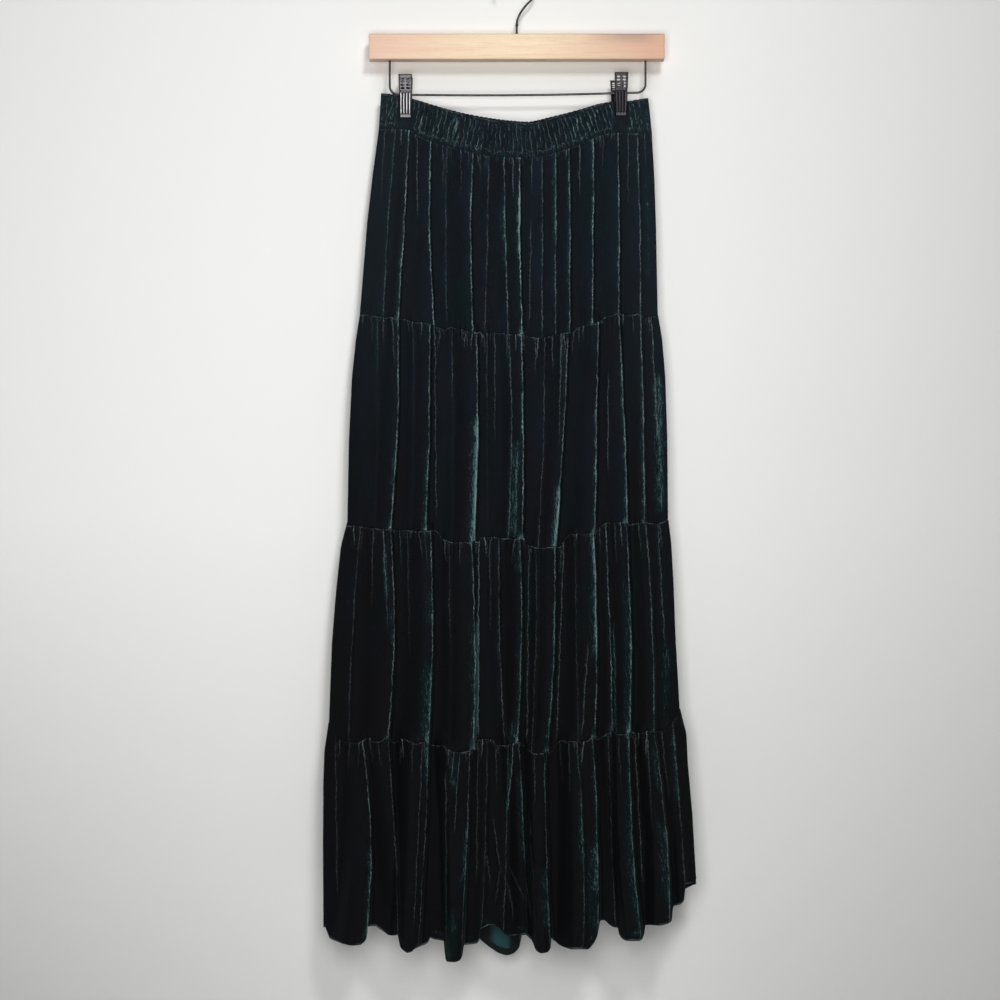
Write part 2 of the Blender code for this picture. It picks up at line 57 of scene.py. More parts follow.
# ---------------------------------------------------------------- sizes, mm
CLOTH = 1.3            # velvet, one layer
BAND = 3.0             # waistband: velvet folded double over its elastic
BAND_HEIGHT = 36.0
SEAM_GAP = 0.2         # between a tier and the next, up and down
SIDE_GAP = 0.3         # between a front and a back, at the side seams
LINE_SHIFT = 0.3       # a painted highlight, a pale line, lies this far to the left of its fold's edge
VIEW = 2150.0          # the camera stands this far in front,
VIEW_X = -20.0         # this far across
VIEW_Z = -639.0        # and this high
GATHERS = 57           # in each half of the waistband
LOOP = 3.4             # radius of the waistband's turn at each side seam
ROLL = 0.2             # share of its depth that a fold rolls back by its edge
ROLL_FROM = 0.6        # and the share of its width where that begins
SLACK = 11.0           # how far the slack waist bows open between the clips
PINCHED = 1.95         # half the way from front to back, where a clip bites
WIRE = 1.3             # radius of the hook's and the bail's wire
WIRE_Z = -150.6        # level part of the wire that the clips slide on
CROOK = 24.0           # radius of the hook's crook, to the middle of the wire
LINE_LIGHT = {1: 1.0, 2: 0.85, 3: 0.63, 4: 0.46}     # how pale a tier's painted highlight lines are
GLOW_LIGHT = {1: 1.0, 2: 0.96, 3: 0.8, 4: 0.72}      # and the painted sheen beside them
COLUMN_STEP = 0.85     # widest step from column to column across a front
BACK_STEP = 2.1        # and across a back
BAIL_LEFT, BAIL_RIGHT = -152.3, 154.6                # x of the legs of the bail
TURN = {"front": 1, "back": -1}                      # a back is made as it is seen from
TO_BACK = np.array([-1.0, -1.0, 1.0])                # behind, and then turned round

Clip = namedtuple("Clip", "middle raised back_shift")
CLIPS = {
    "left": Clip(-133.3, 0.0, 0.0),
    "right": Clip(125.2, 2.3, -4.2),
}

Fold = namedtuple("Fold", "key x_top x_mid x_foot deep_top deep_mid deep_foot left_top left_foot soft bright")
#  x       the line where the fold drops back, at the tier's top, middle, foot
#  deep    how far the fold stands forward there
#  left    how far to its left the fold begins
#  soft    share of that width it rises over: 1 is a slow swell, 0.4 a pipe
#   bright  how strongly the painted highlight and sheen show along its edge
FRONT_FOLDS = {
    1: [
        ("a", -145, -154, -160, 1.5, 4, 5, 17, 24, 1, 0.35),
        ("b", -129, -135, -142, 2, 6, 9, 13, 17, 1, 0.80),
        ("c", -103, -104, -99, 2.5, 7, 10, 24, 38, 1, 0.85),
        ("d", -83, -85, -83, 1, 1, 3, 10, 12, 1, 0.30),
        ("e", -52, -55, -52, 2.5, 7, 10, 29, 31, 1, 0.75),
        ("f", -33, -35, -38, 1.5, 2, 1, 10, 10, 1, 0.35),
        ("g", -15, -13, -10, 2, 4, 1, 14, 17, 1, 0.60),
        ("h", 4, 4, 7, 2.5, 7.5, 10, 16, 31, 1, 1.00),
        ("i", 31, 31, 31, 2, 3, 0.5, 17, 17, 1, 0.45),
        ("j", 47, 47, 47, 2.5, 4, 1, 14, 14, 1, 0.60),
        ("k", 63, 64, 64, 2, 7, 9, 12, 24, 1, 0.75),
        ("l", 92, 92, 91, 2.5, 6, 9, 24, 24, 1, 0.85),
        ("m", 122, 123, 123, 2, 6, 8, 24, 26, 1, 0.75),
        ("n", 145, 148, 149, 1.5, 5, 7, 17, 22, 1, 0.65),
    ],
    2: [
        ("a", -167, -167, -171, 4, 1.5, 0.5, 14, 14, 1, 0.40),
        ("b", -142, -143, -151, 9, 11, 14, 17, 41, 1, 0.80),
        ("c", -124, -124, -127, 3, 1.5, 1, 10, 12, 1, 0.20),
        ("d", -104, -105, -109, 10, 12, 14, 33, 36, 1, 0.70),
        ("e", -77, -77, -77, 4, 1.5, 0.5, 12, 12, 1, 0.35),
        ("f", -48, -47, -51, 10, 13, 17, 31, 46, 0.9, 0.85),
        ("g", -35, -35, -34, 3.5, 1.5, 0.5, 8, 10, 1, 0.40),
        ("h", -9, -6, -10, 4, 5, 6, 14, 17, 1, 0.55),
        ("i", 6, 8, 7, 10, 12, 16, 31, 24, 1, 0.95),
        ("j", 34, 32, 26, 4, 1.5, 1, 12, 12, 1, 0.35),
        ("k", 62, 56, 47, 9, 12, 16, 24, 34, 1, 0.75),
        ("l", 98, 96, 94, 9, 12, 15, 26, 38, 1, 0.80),
        ("m", 123, 129, 133, 8, 11, 15, 24, 31, 1, 0.85),
        ("n", 149, 152, 154, 7, 10, 13, 22, 20, 1, 0.75),
    ],
    3: [
        ("a", -187, -197, -201, 3, 6, 6, 14, 19, 1, 0.38),
        ("b", -151, -147, -154, 14, 17, 20, 41, 43, 0.9, 0.80),
        ("c", -103, -101, -106, 14, 18, 22, 36, 41, 0.9, 0.80),
        ("d", -81, -80, -81, 3.5, 2, 1, 12, 12, 1, 0.35),
        ("e", -54, -50, -52, 17, 20, 24, 46, 48, 0.8, 0.90),
        ("f", -21, -20, -14, 5, 7, 5, 14, 19, 1, 0.55),
        ("g", 4, 6, 1, 16, 19, 23, 24, 26, 1, 0.80),
        ("h", 24, 23, 18, 3, 3, 2, 10, 10, 1, 0.35),
        ("i", 46, 45, 37, 16, 18, 22, 34, 31, 0.9, 0.85),
        ("j", 70, 72, 74, 3, 2, 2, 12, 12, 1, 0.30),
        ("k", 92, 96, 94, 15, 20, 22, 38, 48, 0.7, 0.90),
        ("l", 107, 112, 115, 3, 7, 12, 10, 17, 1, 0.75),
        ("m", 132, 137, 136, 15, 17, 21, 31, 26, 0.9, 0.90),
        ("n", 155, 163, 165, 13, 16, 20, 20, 26, 0.9, 0.70),
    ],
    4: [
        ("a", -185, -175, -179, 3, 18, 36, 26, 50, 0.45, 0.85),
        ("b", -154, -146, -142, 20, 12, 4, 43, 19, 0.9, 0.55),
        ("c", -106, -110, -118, 22, 28, 36, 41, 35, 0.5, 0.60),
        ("e", -56, -60, -66, 24, 32, 44, 46, 20, 0.4, 0.75),
        ("f", -35, -37, -42, 3, 5, 3, 10, 14, 1, 0.40),
        ("g", -10, -12, -16, 5, 5, 4, 15, 14, 1, 0.55),
        ("h", 3, 9, 13, 23, 22, 14, 24, 22, 0.8, 0.80),
        ("i", 34, 36, 41, 22, 29, 38, 29, 24, 0.45, 0.75),
        ("j", 72, 80, 80, 2, 4, 4, 12, 22, 1, 0.55),
        ("k", 92, 97, 98, 22, 30, 38, 46, 53, 0.45, 0.80),
        ("l", 110, 114, 119, 12, 6, 2, 15, 12, 1, 0.50),
        ("m", 135, 139, 150, 21, 28, 38, 26, 30, 0.45, 0.90),
        ("n", 165, 179, 184, 20, 26, 32, 26, 32, 0.5, 0.80),
        ("o", 187, 196, 203, 4, 12, 22, 14, 14, 0.7, 0.60),
    ],
}

# Folds that die away: the share of the drop where their line is gone.
FADES = {
    (2, "a"): 0.22, (2, "e"): 0.45, (2, "g"): 0.40, (2, "c"): 0.55, (3, "d"): 0.60, (4, "h"): 0.70,
    (1, "r"): 0.50, (1, "v"): 0.70, (1, "y"): 0.35, (2, "p"): 0.50, (2, "t"): 0.45, (2, "w"): 0.72,
    (3, "r"): 0.55, (3, "x"): 0.60, (3, "y"): 0.40, (4, "t"): 0.50, (4, "p"): 0.70,
}

# Fine creases between the folds.  x at its two ends, where it begins and ends
# as shares of the tier's drop, how tall and wide it is, and how pale its
# painted highlight line is.
Crease = namedtuple("Crease", "x_top x_foot start stop tall wide bright")
FRONT_CREASES = {
    1: [
        (-158, -163, 0.0, 0.4, 1.0, 6, 0.22), (-119, -119, 0.06, 0.46, 1.5, 8, 0.28),
        (-88, -88, 0.0, 0.26, 1.0, 5, 0.26), (-67, -66, 0.0, 0.3, 1.0, 6, 0.2),
        (-43, -43, 0.0, 0.16, 1.0, 4, 0.25), (-4, -4, 0.02, 0.24, 1.4, 5, 0.4),
        (18.6, 18.6, 0.0, 0.22, 1.2, 6, 0.32), (17.4, 15.4, 0.42, 0.95, 1.2, 6, 0.26),
        (76, 76, 0.0, 0.3, 2.0, 8, 0.5), (104, 103, 0.0, 0.24, 1.0, 6, 0.22),
        (134, 134, 0.0, 0.42, 1.2, 6, 0.28), (154, 155, 0.0, 0.2, 1.0, 4, 0.25),
    ],
    2: [
        (-184, -186, 0.0, 0.09, 1.5, 5, 0.4), (-160, -160, 0.0, 0.14, 2.0, 5, 0.42),
        (-149, -146, 0.0, 0.24, 2.0, 5, 0.45), (-115, -116, 0.0, 0.12, 1.5, 4, 0.25),
        (-98, -97, 0.0, 0.3, 1.8, 6, 0.5), (-97.5, -96, 0.32, 0.95, 1.4, 6, 0.26),
        (-92, -92, 0.0, 0.12, 1.6, 4, 0.25), (-66, -66, 0.0, 0.08, 1.6, 4, 0.28),
        (-59, -59, 0.0, 0.1, 1.8, 4, 0.35), (-42, -42, 0.0, 0.09, 1.6, 3, 0.35),
        (-26, -26, 0.0, 0.55, 1.4, 7, 0.36), (-2, -2, 0.0, 0.1, 1.5, 4, 0.3),
        (23.4, 22, 0.0, 0.2, 2.0, 5, 0.4), (43.8, 43, 0.0, 0.2, 2.0, 5, 0.42),
        (54, 51, 0.0, 0.55, 2.0, 6, 0.45), (68, 68, 0.0, 0.14, 1.6, 4, 0.3),
        (80, 80, 0.0, 0.09, 2.0, 5, 0.45), (110, 110, 0.34, 0.78, 1.5, 7, 0.3),
        (140, 140, 0.0, 0.12, 1.4, 5, 0.25), (162, 170, 0.02, 0.6, 2.0, 7, 0.45),
    ],
    3: [
        (-172, -174, 0.0, 0.4, 2.0, 7, 0.32), (-160, -154, 0.0, 0.5, 3.0, 7, 0.5),
        (-140, -138, 0.0, 0.2, 2.0, 5, 0.3), (-131, -128, 0.0, 0.62, 1.6, 6, 0.24),
        (-117, -112, 0.0, 0.16, 2.0, 5, 0.35), (-110, -106, 0.0, 0.22, 1.8, 4, 0.3),
        (-68, -68, 0.0, 0.14, 2.0, 4, 0.32), (-45, -46, 0.02, 1.0, 2.4, 6, 0.6),
        (-32, -31, 0.0, 0.5, 2.0, 5, 0.32), (-2, -7, 0.0, 0.14, 2.0, 4, 0.45),
        (15, 12.6, 0.02, 1.0, 2.0, 6, 0.36), (57, 48, 0.0, 1.0, 2.4, 7, 0.45),
        (85, 78, 0.6, 1.0, 2.0, 6, 0.42), (100, 101, 0.0, 0.14, 2.0, 5, 0.3),
        (118, 120, 0.0, 0.22, 2.0, 5, 0.3), (146, 152, 0.0, 0.18, 2.0, 5, 0.4),
        (170, 178, 0.02, 0.6, 2.0, 6, 0.4),
    ],
    4: [
        (-217, -215, 0.08, 0.78, 3.0, 9, 0.28), (-212, -214, 0.0, 0.14, 2.4, 6, 0.35),
        (-200, -203, 0.0, 0.16, 2.4, 6, 0.3), (-176, -172, 0.0, 0.15, 2.4, 5, 0.35),
        (-166, -162, 0.0, 0.18, 2.4, 5, 0.35), (-138, -141, 0.0, 0.16, 3.0, 6, 0.4),
        (-124, -126, 0.0, 0.2, 2.4, 6, 0.3), (-113, -123, 0.05, 0.9, 2.4, 6, 0.36),
        (-85, -84, 0.18, 1.0, 5.0, 9, 0.45), (-77, -77, 0.0, 0.22, 3.0, 6, 0.35),
        (-69, -75, 0.05, 0.4, 3.0, 6, 0.45), (-46, -48, 0.0, 0.7, 2.4, 6, 0.3),
        (-25, -23, 0.0, 0.28, 3.0, 6, 0.4), (-4, -11, 0.02, 0.38, 3.6, 6, 0.7),
        (22, 22, 0.05, 0.28, 3.0, 6, 0.35), (-26, -18, 0.48, 0.72, 2.4, 5, 0.42),
        (-35, -31, 0.62, 0.8, 2.0, 4, 0.36), (-22, -26, 0.74, 0.9, 2.0, 4, 0.26),
        (-2, 12, 0.7, 0.84, 2.0, 5, 0.3), (-8, -3, 0.78, 0.94, 2.0, 5, 0.34),
        (13, 18, 0.74, 0.9, 2.0, 5, 0.32), (16, 24, 0.4, 0.92, 2.4, 7, 0.26),
        (52, 55, 0.0, 0.22, 2.4, 6, 0.3), (63, 64, 0.0, 0.3, 3.0, 6, 0.35),
        (123, 126, 0.0, 0.3, 2.4, 6, 0.3), (142, 152, 0.0, 0.75, 2.4, 5, 0.45),
        (157, 163, 0.0, 0.5, 3.0, 7, 0.45), (174, 184, 0.0, 0.4, 2.4, 6, 0.4),
    ],
}

# Where painted sheen lies pale beside a fold, as velvet shines where it turns
# away: how far to the right of the fold's edge its brightest line is, from and to
# as shares of the tier's drop, how far it spreads to the left, and how strong it is.
Glow = namedtuple("Glow", "fold shift start stop wide strong")
FRONT_GLOWS = {
    1: [
        ("a", 0, 0.0, 1.0, 6, 0.2), ("b", 0, 0.45, 1.0, 8, 0.32), ("c", 0, 0.1, 0.6, 5, 0.25),
        ("e", 0, 0.0, 0.6, 6, 0.25), ("g", 0, 0.25, 0.66, 9, 0.4), ("h", 0, 0.2, 0.56, 5, 0.8),
        ("j", 0, 0.0, 0.5, 7, 0.45), ("k", 0, 0.1, 0.8, 6, 0.3), ("l", 0, 0.0, 0.6, 6, 0.3),
        ("m", 0, 0.3, 0.9, 6, 0.28), ("n", 9, 0.25, 0.8, 6, 0.22),
    ],
    2: [
        ("a", 0, 0.0, 0.26, 6, 0.3), ("b", 0, 0.6, 0.86, 9, 0.4), ("d", 0, 0.62, 1.0, 8, 0.4),
        ("f", 0, 0.4, 1.0, 11, 0.8), ("h", 7, 0.52, 1.0, 13, 0.55), ("i", 0, 0.2, 0.6, 4, 0.4),
        ("k", 0, 0.15, 0.42, 6, 0.3), ("k", 0, 0.7, 1.0, 10, 0.8), ("l", 0, 0.4, 0.98, 6, 0.5),
        ("m", 0, 0.25, 0.95, 6, 0.45), ("n", 0, 0.2, 0.95, 6, 0.38), ("n", 19, 0.28, 0.95, 11, 0.5),
    ],
    3: [
        ("b", -9, 0.08, 0.34, 7, 0.45), ("b", -3, 0.36, 0.54, 7, 0.4), ("c", 0, 0.27, 0.44, 9, 0.55),
        ("c", 0, 0.62, 1.0, 12, 0.56), ("e", 3, 0.38, 1.0, 9, 0.72), ("e", 0, 0.0, 0.2, 5, 0.3),
        ("g", 0, 0.0, 0.18, 8, 0.5), ("g", 0, 0.45, 1.0, 6, 0.45), ("f", 0, 0.48, 0.62, 6, 0.35),
        ("g", -8, 0.88, 1.0, 9, 0.5), ("i", 0, 0.25, 1.0, 6, 0.45), ("k", 0, 0.0, 0.62, 7, 0.85),
        ("l", 4, 0.48, 1.0, 6, 0.5), ("m", 0, 0.3, 1.0, 8, 0.55), ("n", 0, 0.2, 0.95, 5, 0.32),
        ("n", 14, 0.6, 1.0, 9, 0.28), ("c", -8, 0.2, 1.0, 20, 0.14), ("m", -7, 0.03, 0.95, 14, 0.13),
        ("n", 16, 0.05, 0.75, 13, 0.15), ("a", -6, 0.1, 0.6, 14, 0.15), ("g", -6, 0.08, 0.6, 16, 0.12),
        ("k", -8, 0.25, 0.92, 16, 0.13), ("e", -6, 0.05, 0.75, 16, 0.12),
    ],
    4: [
        ("c", 0, 0.0, 0.2, 8, 0.7), ("a", 0, 0.58, 1.0, 8, 0.6), ("e", 0, 0.36, 0.66, 8, 0.7),
        ("g", 0, 0.04, 0.38, 6, 0.55), ("h", 0, 0.15, 0.62, 8, 0.6), ("e", -20, 0.02, 0.18, 10, 0.4),
        ("e", -14, 0.74, 0.96, 8, 0.35), ("i", 0, 0.58, 0.9, 9, 0.6), ("j", 0, 0.22, 0.58, 8, 0.45),
        ("k", -3, 0.52, 0.96, 13, 0.4), ("k", 0, 0.08, 0.78, 7, 0.5), ("m", 0, 0.0, 0.52, 7, 0.6),
        ("m", 0, 0.5, 0.96, 9, 0.7), ("n", 0, 0.48, 0.92, 11, 0.6), ("n", -4, 0.08, 0.32, 7, 0.5),
        ("o", 0, 0.05, 0.45, 8, 0.6), ("k", -12, 0.42, 0.88, 18, 0.17), ("n", -8, 0.38, 0.84, 13, 0.2),
        ("m", -7, 0.3, 0.88, 14, 0.15), ("i", -6, 0.55, 0.9, 12, 0.15), ("e", -5, 0.6, 1.0, 12, 0.17),
    ],
}

# The back, as it is seen from behind: one row for each fold, which runs down
# all four tiers.  x at the waist, at the three seams and at the hem.
BackFold = namedtuple("BackFold", "key x_waist x_seam1 x_seam2 x_seam3 x_hem full bright")
BACK_FOLDS = [
    ("p", -134, -142, -147, -154, -166, 0.80, 0.60),
    ("q", -97, -101, -104, -111, -122, 1.00, 0.85),
    ("r", -61, -65, -64, -70, -77, 0.85, 0.60),
    ("s", -23, -26, -32, -29, -32, 1.00, 0.85),
    ("t", 7, 9, 4, -2, -8, 0.75, 0.60),
    ("u", 38, 43, 47, 55, 69, 1.05, 0.90),
    ("v", 70, 76, 83, 93, 105, 0.90, 0.70),
    ("w", 105, 112, 119, 129, 143, 1.00, 0.80),
    ("x", 134, 145, 154, 167, 182, 0.85, 0.65),
    ("y", 150, 166, 177, 190, 210, 0.45, 0.50),
]
BACK_DEEP = (2.5, 9, 15, 22, 36)       # at the waist, the seams and the hem

BACK_CREASES = {
    1: [
        (-148, -156, 0.0, 0.6, 1.5, 7, 0.4), (-116, -118, 0.0, 0.8, 2.0, 8, 0.45),
        (-80, -84, 0.0, 0.55, 1.6, 7, 0.4), (-42, -44, 0.0, 0.9, 1.8, 7, 0.5),
        (-8, -6, 0.0, 0.4, 1.5, 6, 0.35), (22, 26, 0.0, 0.7, 1.8, 7, 0.45),
        (54, 58, 0.0, 0.5, 1.5, 7, 0.4), (88, 94, 0.0, 0.85, 1.8, 8, 0.45),
        (121, 128, 0.0, 0.45, 1.5, 7, 0.35),
    ],
    2: [
        (-168, -172, 0.0, 0.3, 2.0, 6, 0.35), (-126, -130, 0.0, 0.6, 2.0, 7, 0.4),
        (-114, -114, 0.0, 0.15, 1.8, 5, 0.35), (-84, -84, 0.0, 0.35, 2.0, 7, 0.4),
        (-46, -50, 0.0, 0.7, 2.0, 7, 0.45), (-10, -14, 0.0, 0.25, 1.8, 6, 0.35),
        (26, 24, 0.0, 0.65, 2.0, 7, 0.45), (60, 64, 0.0, 0.3, 1.8, 6, 0.35),
        (96, 102, 0.0, 0.75, 2.0, 8, 0.45), (130, 136, 0.0, 0.35, 1.8, 6, 0.35),
    ],
    3: [
        (-176, -186, 0.0, 0.35, 2.4, 7, 0.35), (-128, -134, 0.0, 0.5, 2.4, 7, 0.4),
        (-88, -92, 0.0, 0.75, 2.4, 8, 0.45), (-50, -52, 0.0, 0.3, 2.2, 6, 0.4),
        (-12, -16, 0.0, 0.6, 2.4, 7, 0.45), (24, 26, 0.0, 0.85, 2.4, 7, 0.45),
        (64, 72, 0.0, 0.35, 2.2, 7, 0.35), (102, 110, 0.0, 0.65, 2.4, 8, 0.45),
        (137, 147, 0.0, 0.4, 2.2, 6, 0.35),
    ],
    4: [
        (-194, -206, 0.0, 0.7, 3.0, 9, 0.35), (-136, -142, 0.0, 0.45, 3.0, 8, 0.45),
        (-92, -98, 0.0, 0.3, 2.6, 7, 0.4), (-50, -54, 0.0, 0.8, 3.0, 8, 0.45),
        (-14, -20, 0.0, 0.35, 2.6, 6, 0.4), (24, 30, 0.0, 0.6, 3.0, 8, 0.45),
        (74, 84, 0.0, 0.3, 2.6, 7, 0.4), (112, 124, 0.0, 0.75, 3.0, 8, 0.45),
        (148, 160, 0.0, 0.4, 2.6, 7, 0.4),
    ],
}
BACK_GLOWS = {
    1: [
        ("q", 0, 0.1, 0.7, 8, 0.45), ("s", 0, 0.3, 0.9, 6, 0.5), ("u", 0, 0.0, 0.55, 7, 0.45),
        ("w", 0, 0.2, 0.8, 7, 0.4),
    ],
    2: [
        ("p", 0, 0.5, 0.9, 8, 0.35), ("q", 0, 0.55, 1.0, 9, 0.6), ("s", 0, 0.3, 0.75, 8, 0.55),
        ("u", 0, 0.6, 1.0, 9, 0.7), ("w", 0, 0.4, 0.95, 7, 0.45), ("x", 0, 0.2, 0.8, 6, 0.35),
    ],
    3: [
        ("q", 0, 0.0, 0.5, 9, 0.6), ("r", 0, 0.55, 1.0, 9, 0.5), ("s", 0, 0.4, 1.0, 8, 0.6),
        ("u", 0, 0.1, 0.6, 9, 0.6), ("v", 0, 0.5, 1.0, 8, 0.5), ("w", 0, 0.3, 0.9, 8, 0.5),
    ],
    4: [
        ("p", 0, 0.5, 1.0, 9, 0.55), ("q", 0, 0.0, 0.3, 8, 0.6), ("r", 0, 0.4, 0.8, 8, 0.55),
        ("s", 0, 0.5, 0.95, 10, 0.65), ("u", 0, 0.3, 0.7, 10, 0.6), ("v", 0, 0.55, 0.95, 9, 0.55),
        ("w", 0, 0.1, 0.6, 8, 0.55), ("x", 0, 0.45, 0.95, 9, 0.55),
    ],
}

# The sides of each tier: share of its drop, x of its left and right edge as the
# front is looked at, and half its depth without the folds.
OUTLINE = {
    1: [
        (0, -165.3, 162.2, 13), (0.25, -172.8, 165.3, 13), (0.5, -179.2, 167.2, 14),
        (1, -188.2, 169.3, 15),
    ],
    2: [
        (0, -188.2, 169.8, 15), (0.12, -193, 174.8, 17), (0.3, -197.7, 178.4, 18),
        (0.6, -201.4, 180.8, 18.5), (1, -203.2, 181.6, 19),
    ],
    3: [
        (0, -203.7, 182.1, 19), (0.12, -211.2, 185.6, 21), (0.35, -217.1, 188.6, 21.5),
        (0.6, -221.9, 190.5, 22), (1, -225.2, 195.6, 22),
    ],
    4: [
        (0, -225.8, 196.3, 22), (0.14, -230.8, 203.8, 24), (0.3, -232, 205.5, 24), (0.6, -232.5, 211, 25),
        (1, -232, 215.5, 25),
    ],
}
DROP_WIDTH = {1: (3.0, 3.5), 2: (3.5, 4.0), 3: (4.0, 4.5), 4: (4.5, 5.5)}   # top, foot
DROPS = {1: 220.0, 2: 247.0, 3: 243.0, 4: 235.0}     # a tier's height, about

# Heights of the seams: level at the sides, rise to the right, sag between.
Seam = namedtuple("Seam", "side tilt sag power")
SEAMS = {
    "waist": Seam(-195.9, -2.7, 31.0, 0),
    1: Seam(-417.0, 0.0, 28.0, 0),
    2: Seam(-664.5, 1.5, 26.0, 0),
    3: Seam(-899.0, 10.0, 34.0, 6),
}
# The waistband's top edge, which hangs in a slack curve between the clips.
TOP_EDGE = [
    (-165, -150.6), (-154, -151.6), (-133, -155.2), (-120.8, -158.6), (-101.6, -164.5), (-82.4, -169.8),
    (-63.2, -174.7), (-44, -178.5), (-24.8, -181.6), (-5.6, -183.8), (13.6, -185.0), (24, -183.4),
    (42.4, -178.9), (61.6, -174.0), (80.8, -168.7), (100, -163.3), (117, -160.9), (135, -160.0),
    (154, -157.1), (163, -156.4),
]
TOP_FRONT_LOWER, TOP_BACK_HIGHER = 1.7, 2.6     # half way between the clips

# Heights of the front's seams, which step where a fold laps over: x and z.
SEAM_FRONT = {
    "waist": [
        (-165, -193.2), (-147, -193.2), (-130, -194.6), (-117.2, -202.0), (-103, -208.2), (-84, -213.4),
        (-70.8, -216.8), (-50, -222.4), (-32, -225.4), (-17.6, -227.0), (10, -227.8), (30.4, -226.4),
        (46, -221.6), (62.8, -216.6), (74.8, -211.8), (89.2, -206.0), (101.2, -201.2), (115.6, -197.6),
        (139.6, -198.4), (162, -198.6),
    ],
    1: [
        (-188, -416), (-180.6, -415.8), (-173.4, -417), (-167.4, -418.3), (-160.2, -419.4),
        (-150.6, -419), (-145.8, -421.2), (-142.8, -424), (-140.4, -420.6), (-133.8, -422),
        (-127.1, -423.7), (-120.6, -425.3), (-113.4, -425.4), (-105.8, -427), (-98.3, -429.7),
        (-90.6, -432.6), (-85.8, -434.3), (-82.2, -431.9), (-78.6, -431.6), (-71.4, -432.6),
        (-64.2, -433.8), (-60, -436.7), (-48.6, -437), (-34.2, -437.9), (-20.5, -438.1), (-7.8, -439.9),
        (6.2, -440), (14.2, -442.3), (23.4, -443.8), (33, -444.1), (39.5, -442.3), (46.2, -440.3),
        (53.4, -439), (62.2, -437.2), (69, -436), (72.6, -431.6), (77.4, -430.1), (87.5, -427.3),
        (94.2, -426.8), (99, -424.4), (106.2, -419.3), (114.6, -416.5), (123, -414.5), (132.6, -416.8),
        (145.8, -415.3), (154.2, -419.4), (167.4, -418.1),
    ],
    2: [
        (-202.9, -668.8), (-194.5, -669.7), (-186.6, -670.7), (-179.2, -671.9), (-170.5, -672.4),
        (-159.8, -673.6), (-150.8, -672.8), (-147, -674.8), (-141, -675), (-126.6, -675),
        (-118.2, -676.3), (-110.5, -676), (-97.8, -675.2), (-93.6, -678), (-90, -684), (-83.8, -687),
        (-78.6, -688.9), (-65.4, -689), (-58.2, -689.6), (-52.2, -688.4), (-45, -688.2), (-42, -684.1),
        (-36.6, -683), (-27.8, -683), (-18.6, -684.4), (-9, -684.4), (-1.8, -685.4), (6.6, -685.8),
        (11.4, -690.6), (16.2, -693.6), (25.6, -695.6), (33.5, -695.6), (42.8, -694.4), (52.2, -694.2),
        (55.8, -688.8), (60.2, -683), (65.4, -679.3), (73.8, -679), (90, -678.4), (96.2, -674.3),
        (100.2, -671.4), (105.5, -667), (113.4, -665.6), (130.9, -665.3), (135, -667.8), (144.2, -666.1),
        (153.5, -665.3), (166.9, -666.8), (181.1, -663),
    ],
    3: [
        (-224, -906), (-219, -916.2), (-211.8, -925.8), (-202.8, -928.7), (-192.6, -929.9),
        (-186.6, -928.2), (-177.2, -923.6), (-171, -928.9), (-163.8, -928.2), (-156.6, -924.1),
        (-151.8, -925.3), (-147, -929.4), (-138.6, -924.8), (-127.8, -928), (-120.6, -931.1),
        (-111, -928.4), (-103.8, -931.6), (-95.4, -933), (-88.2, -933.2), (-84, -936.6), (-78.6, -939.7),
        (-72.2, -941.3), (-64.2, -940.9), (-58.2, -939.7), (-50.4, -937.3), (-45.6, -926.4),
        (-36.6, -925.6), (-28.8, -926.5), (-22.8, -932.8), (-15.2, -933), (-4.8, -930.6), (1.8, -928.8),
        (7.2, -931.8), (12.6, -936.6), (20.8, -942.6), (28.2, -942.8), (34.2, -941.4), (41.9, -940.2),
        (46.2, -933), (52.2, -927.2), (62.8, -927.6), (77.4, -928.6), (85.2, -927), (91.2, -923.3),
        (96.6, -925.1), (105, -921), (115.2, -916.2), (119.4, -919.6), (130.2, -919.6), (137.4, -917.2),
        (149.4, -918.6), (155.4, -916), (166.2, -916.2), (174.6, -915.5), (183, -910.2), (190.2, -901.2),
        (196.1, -894),
    ],
}
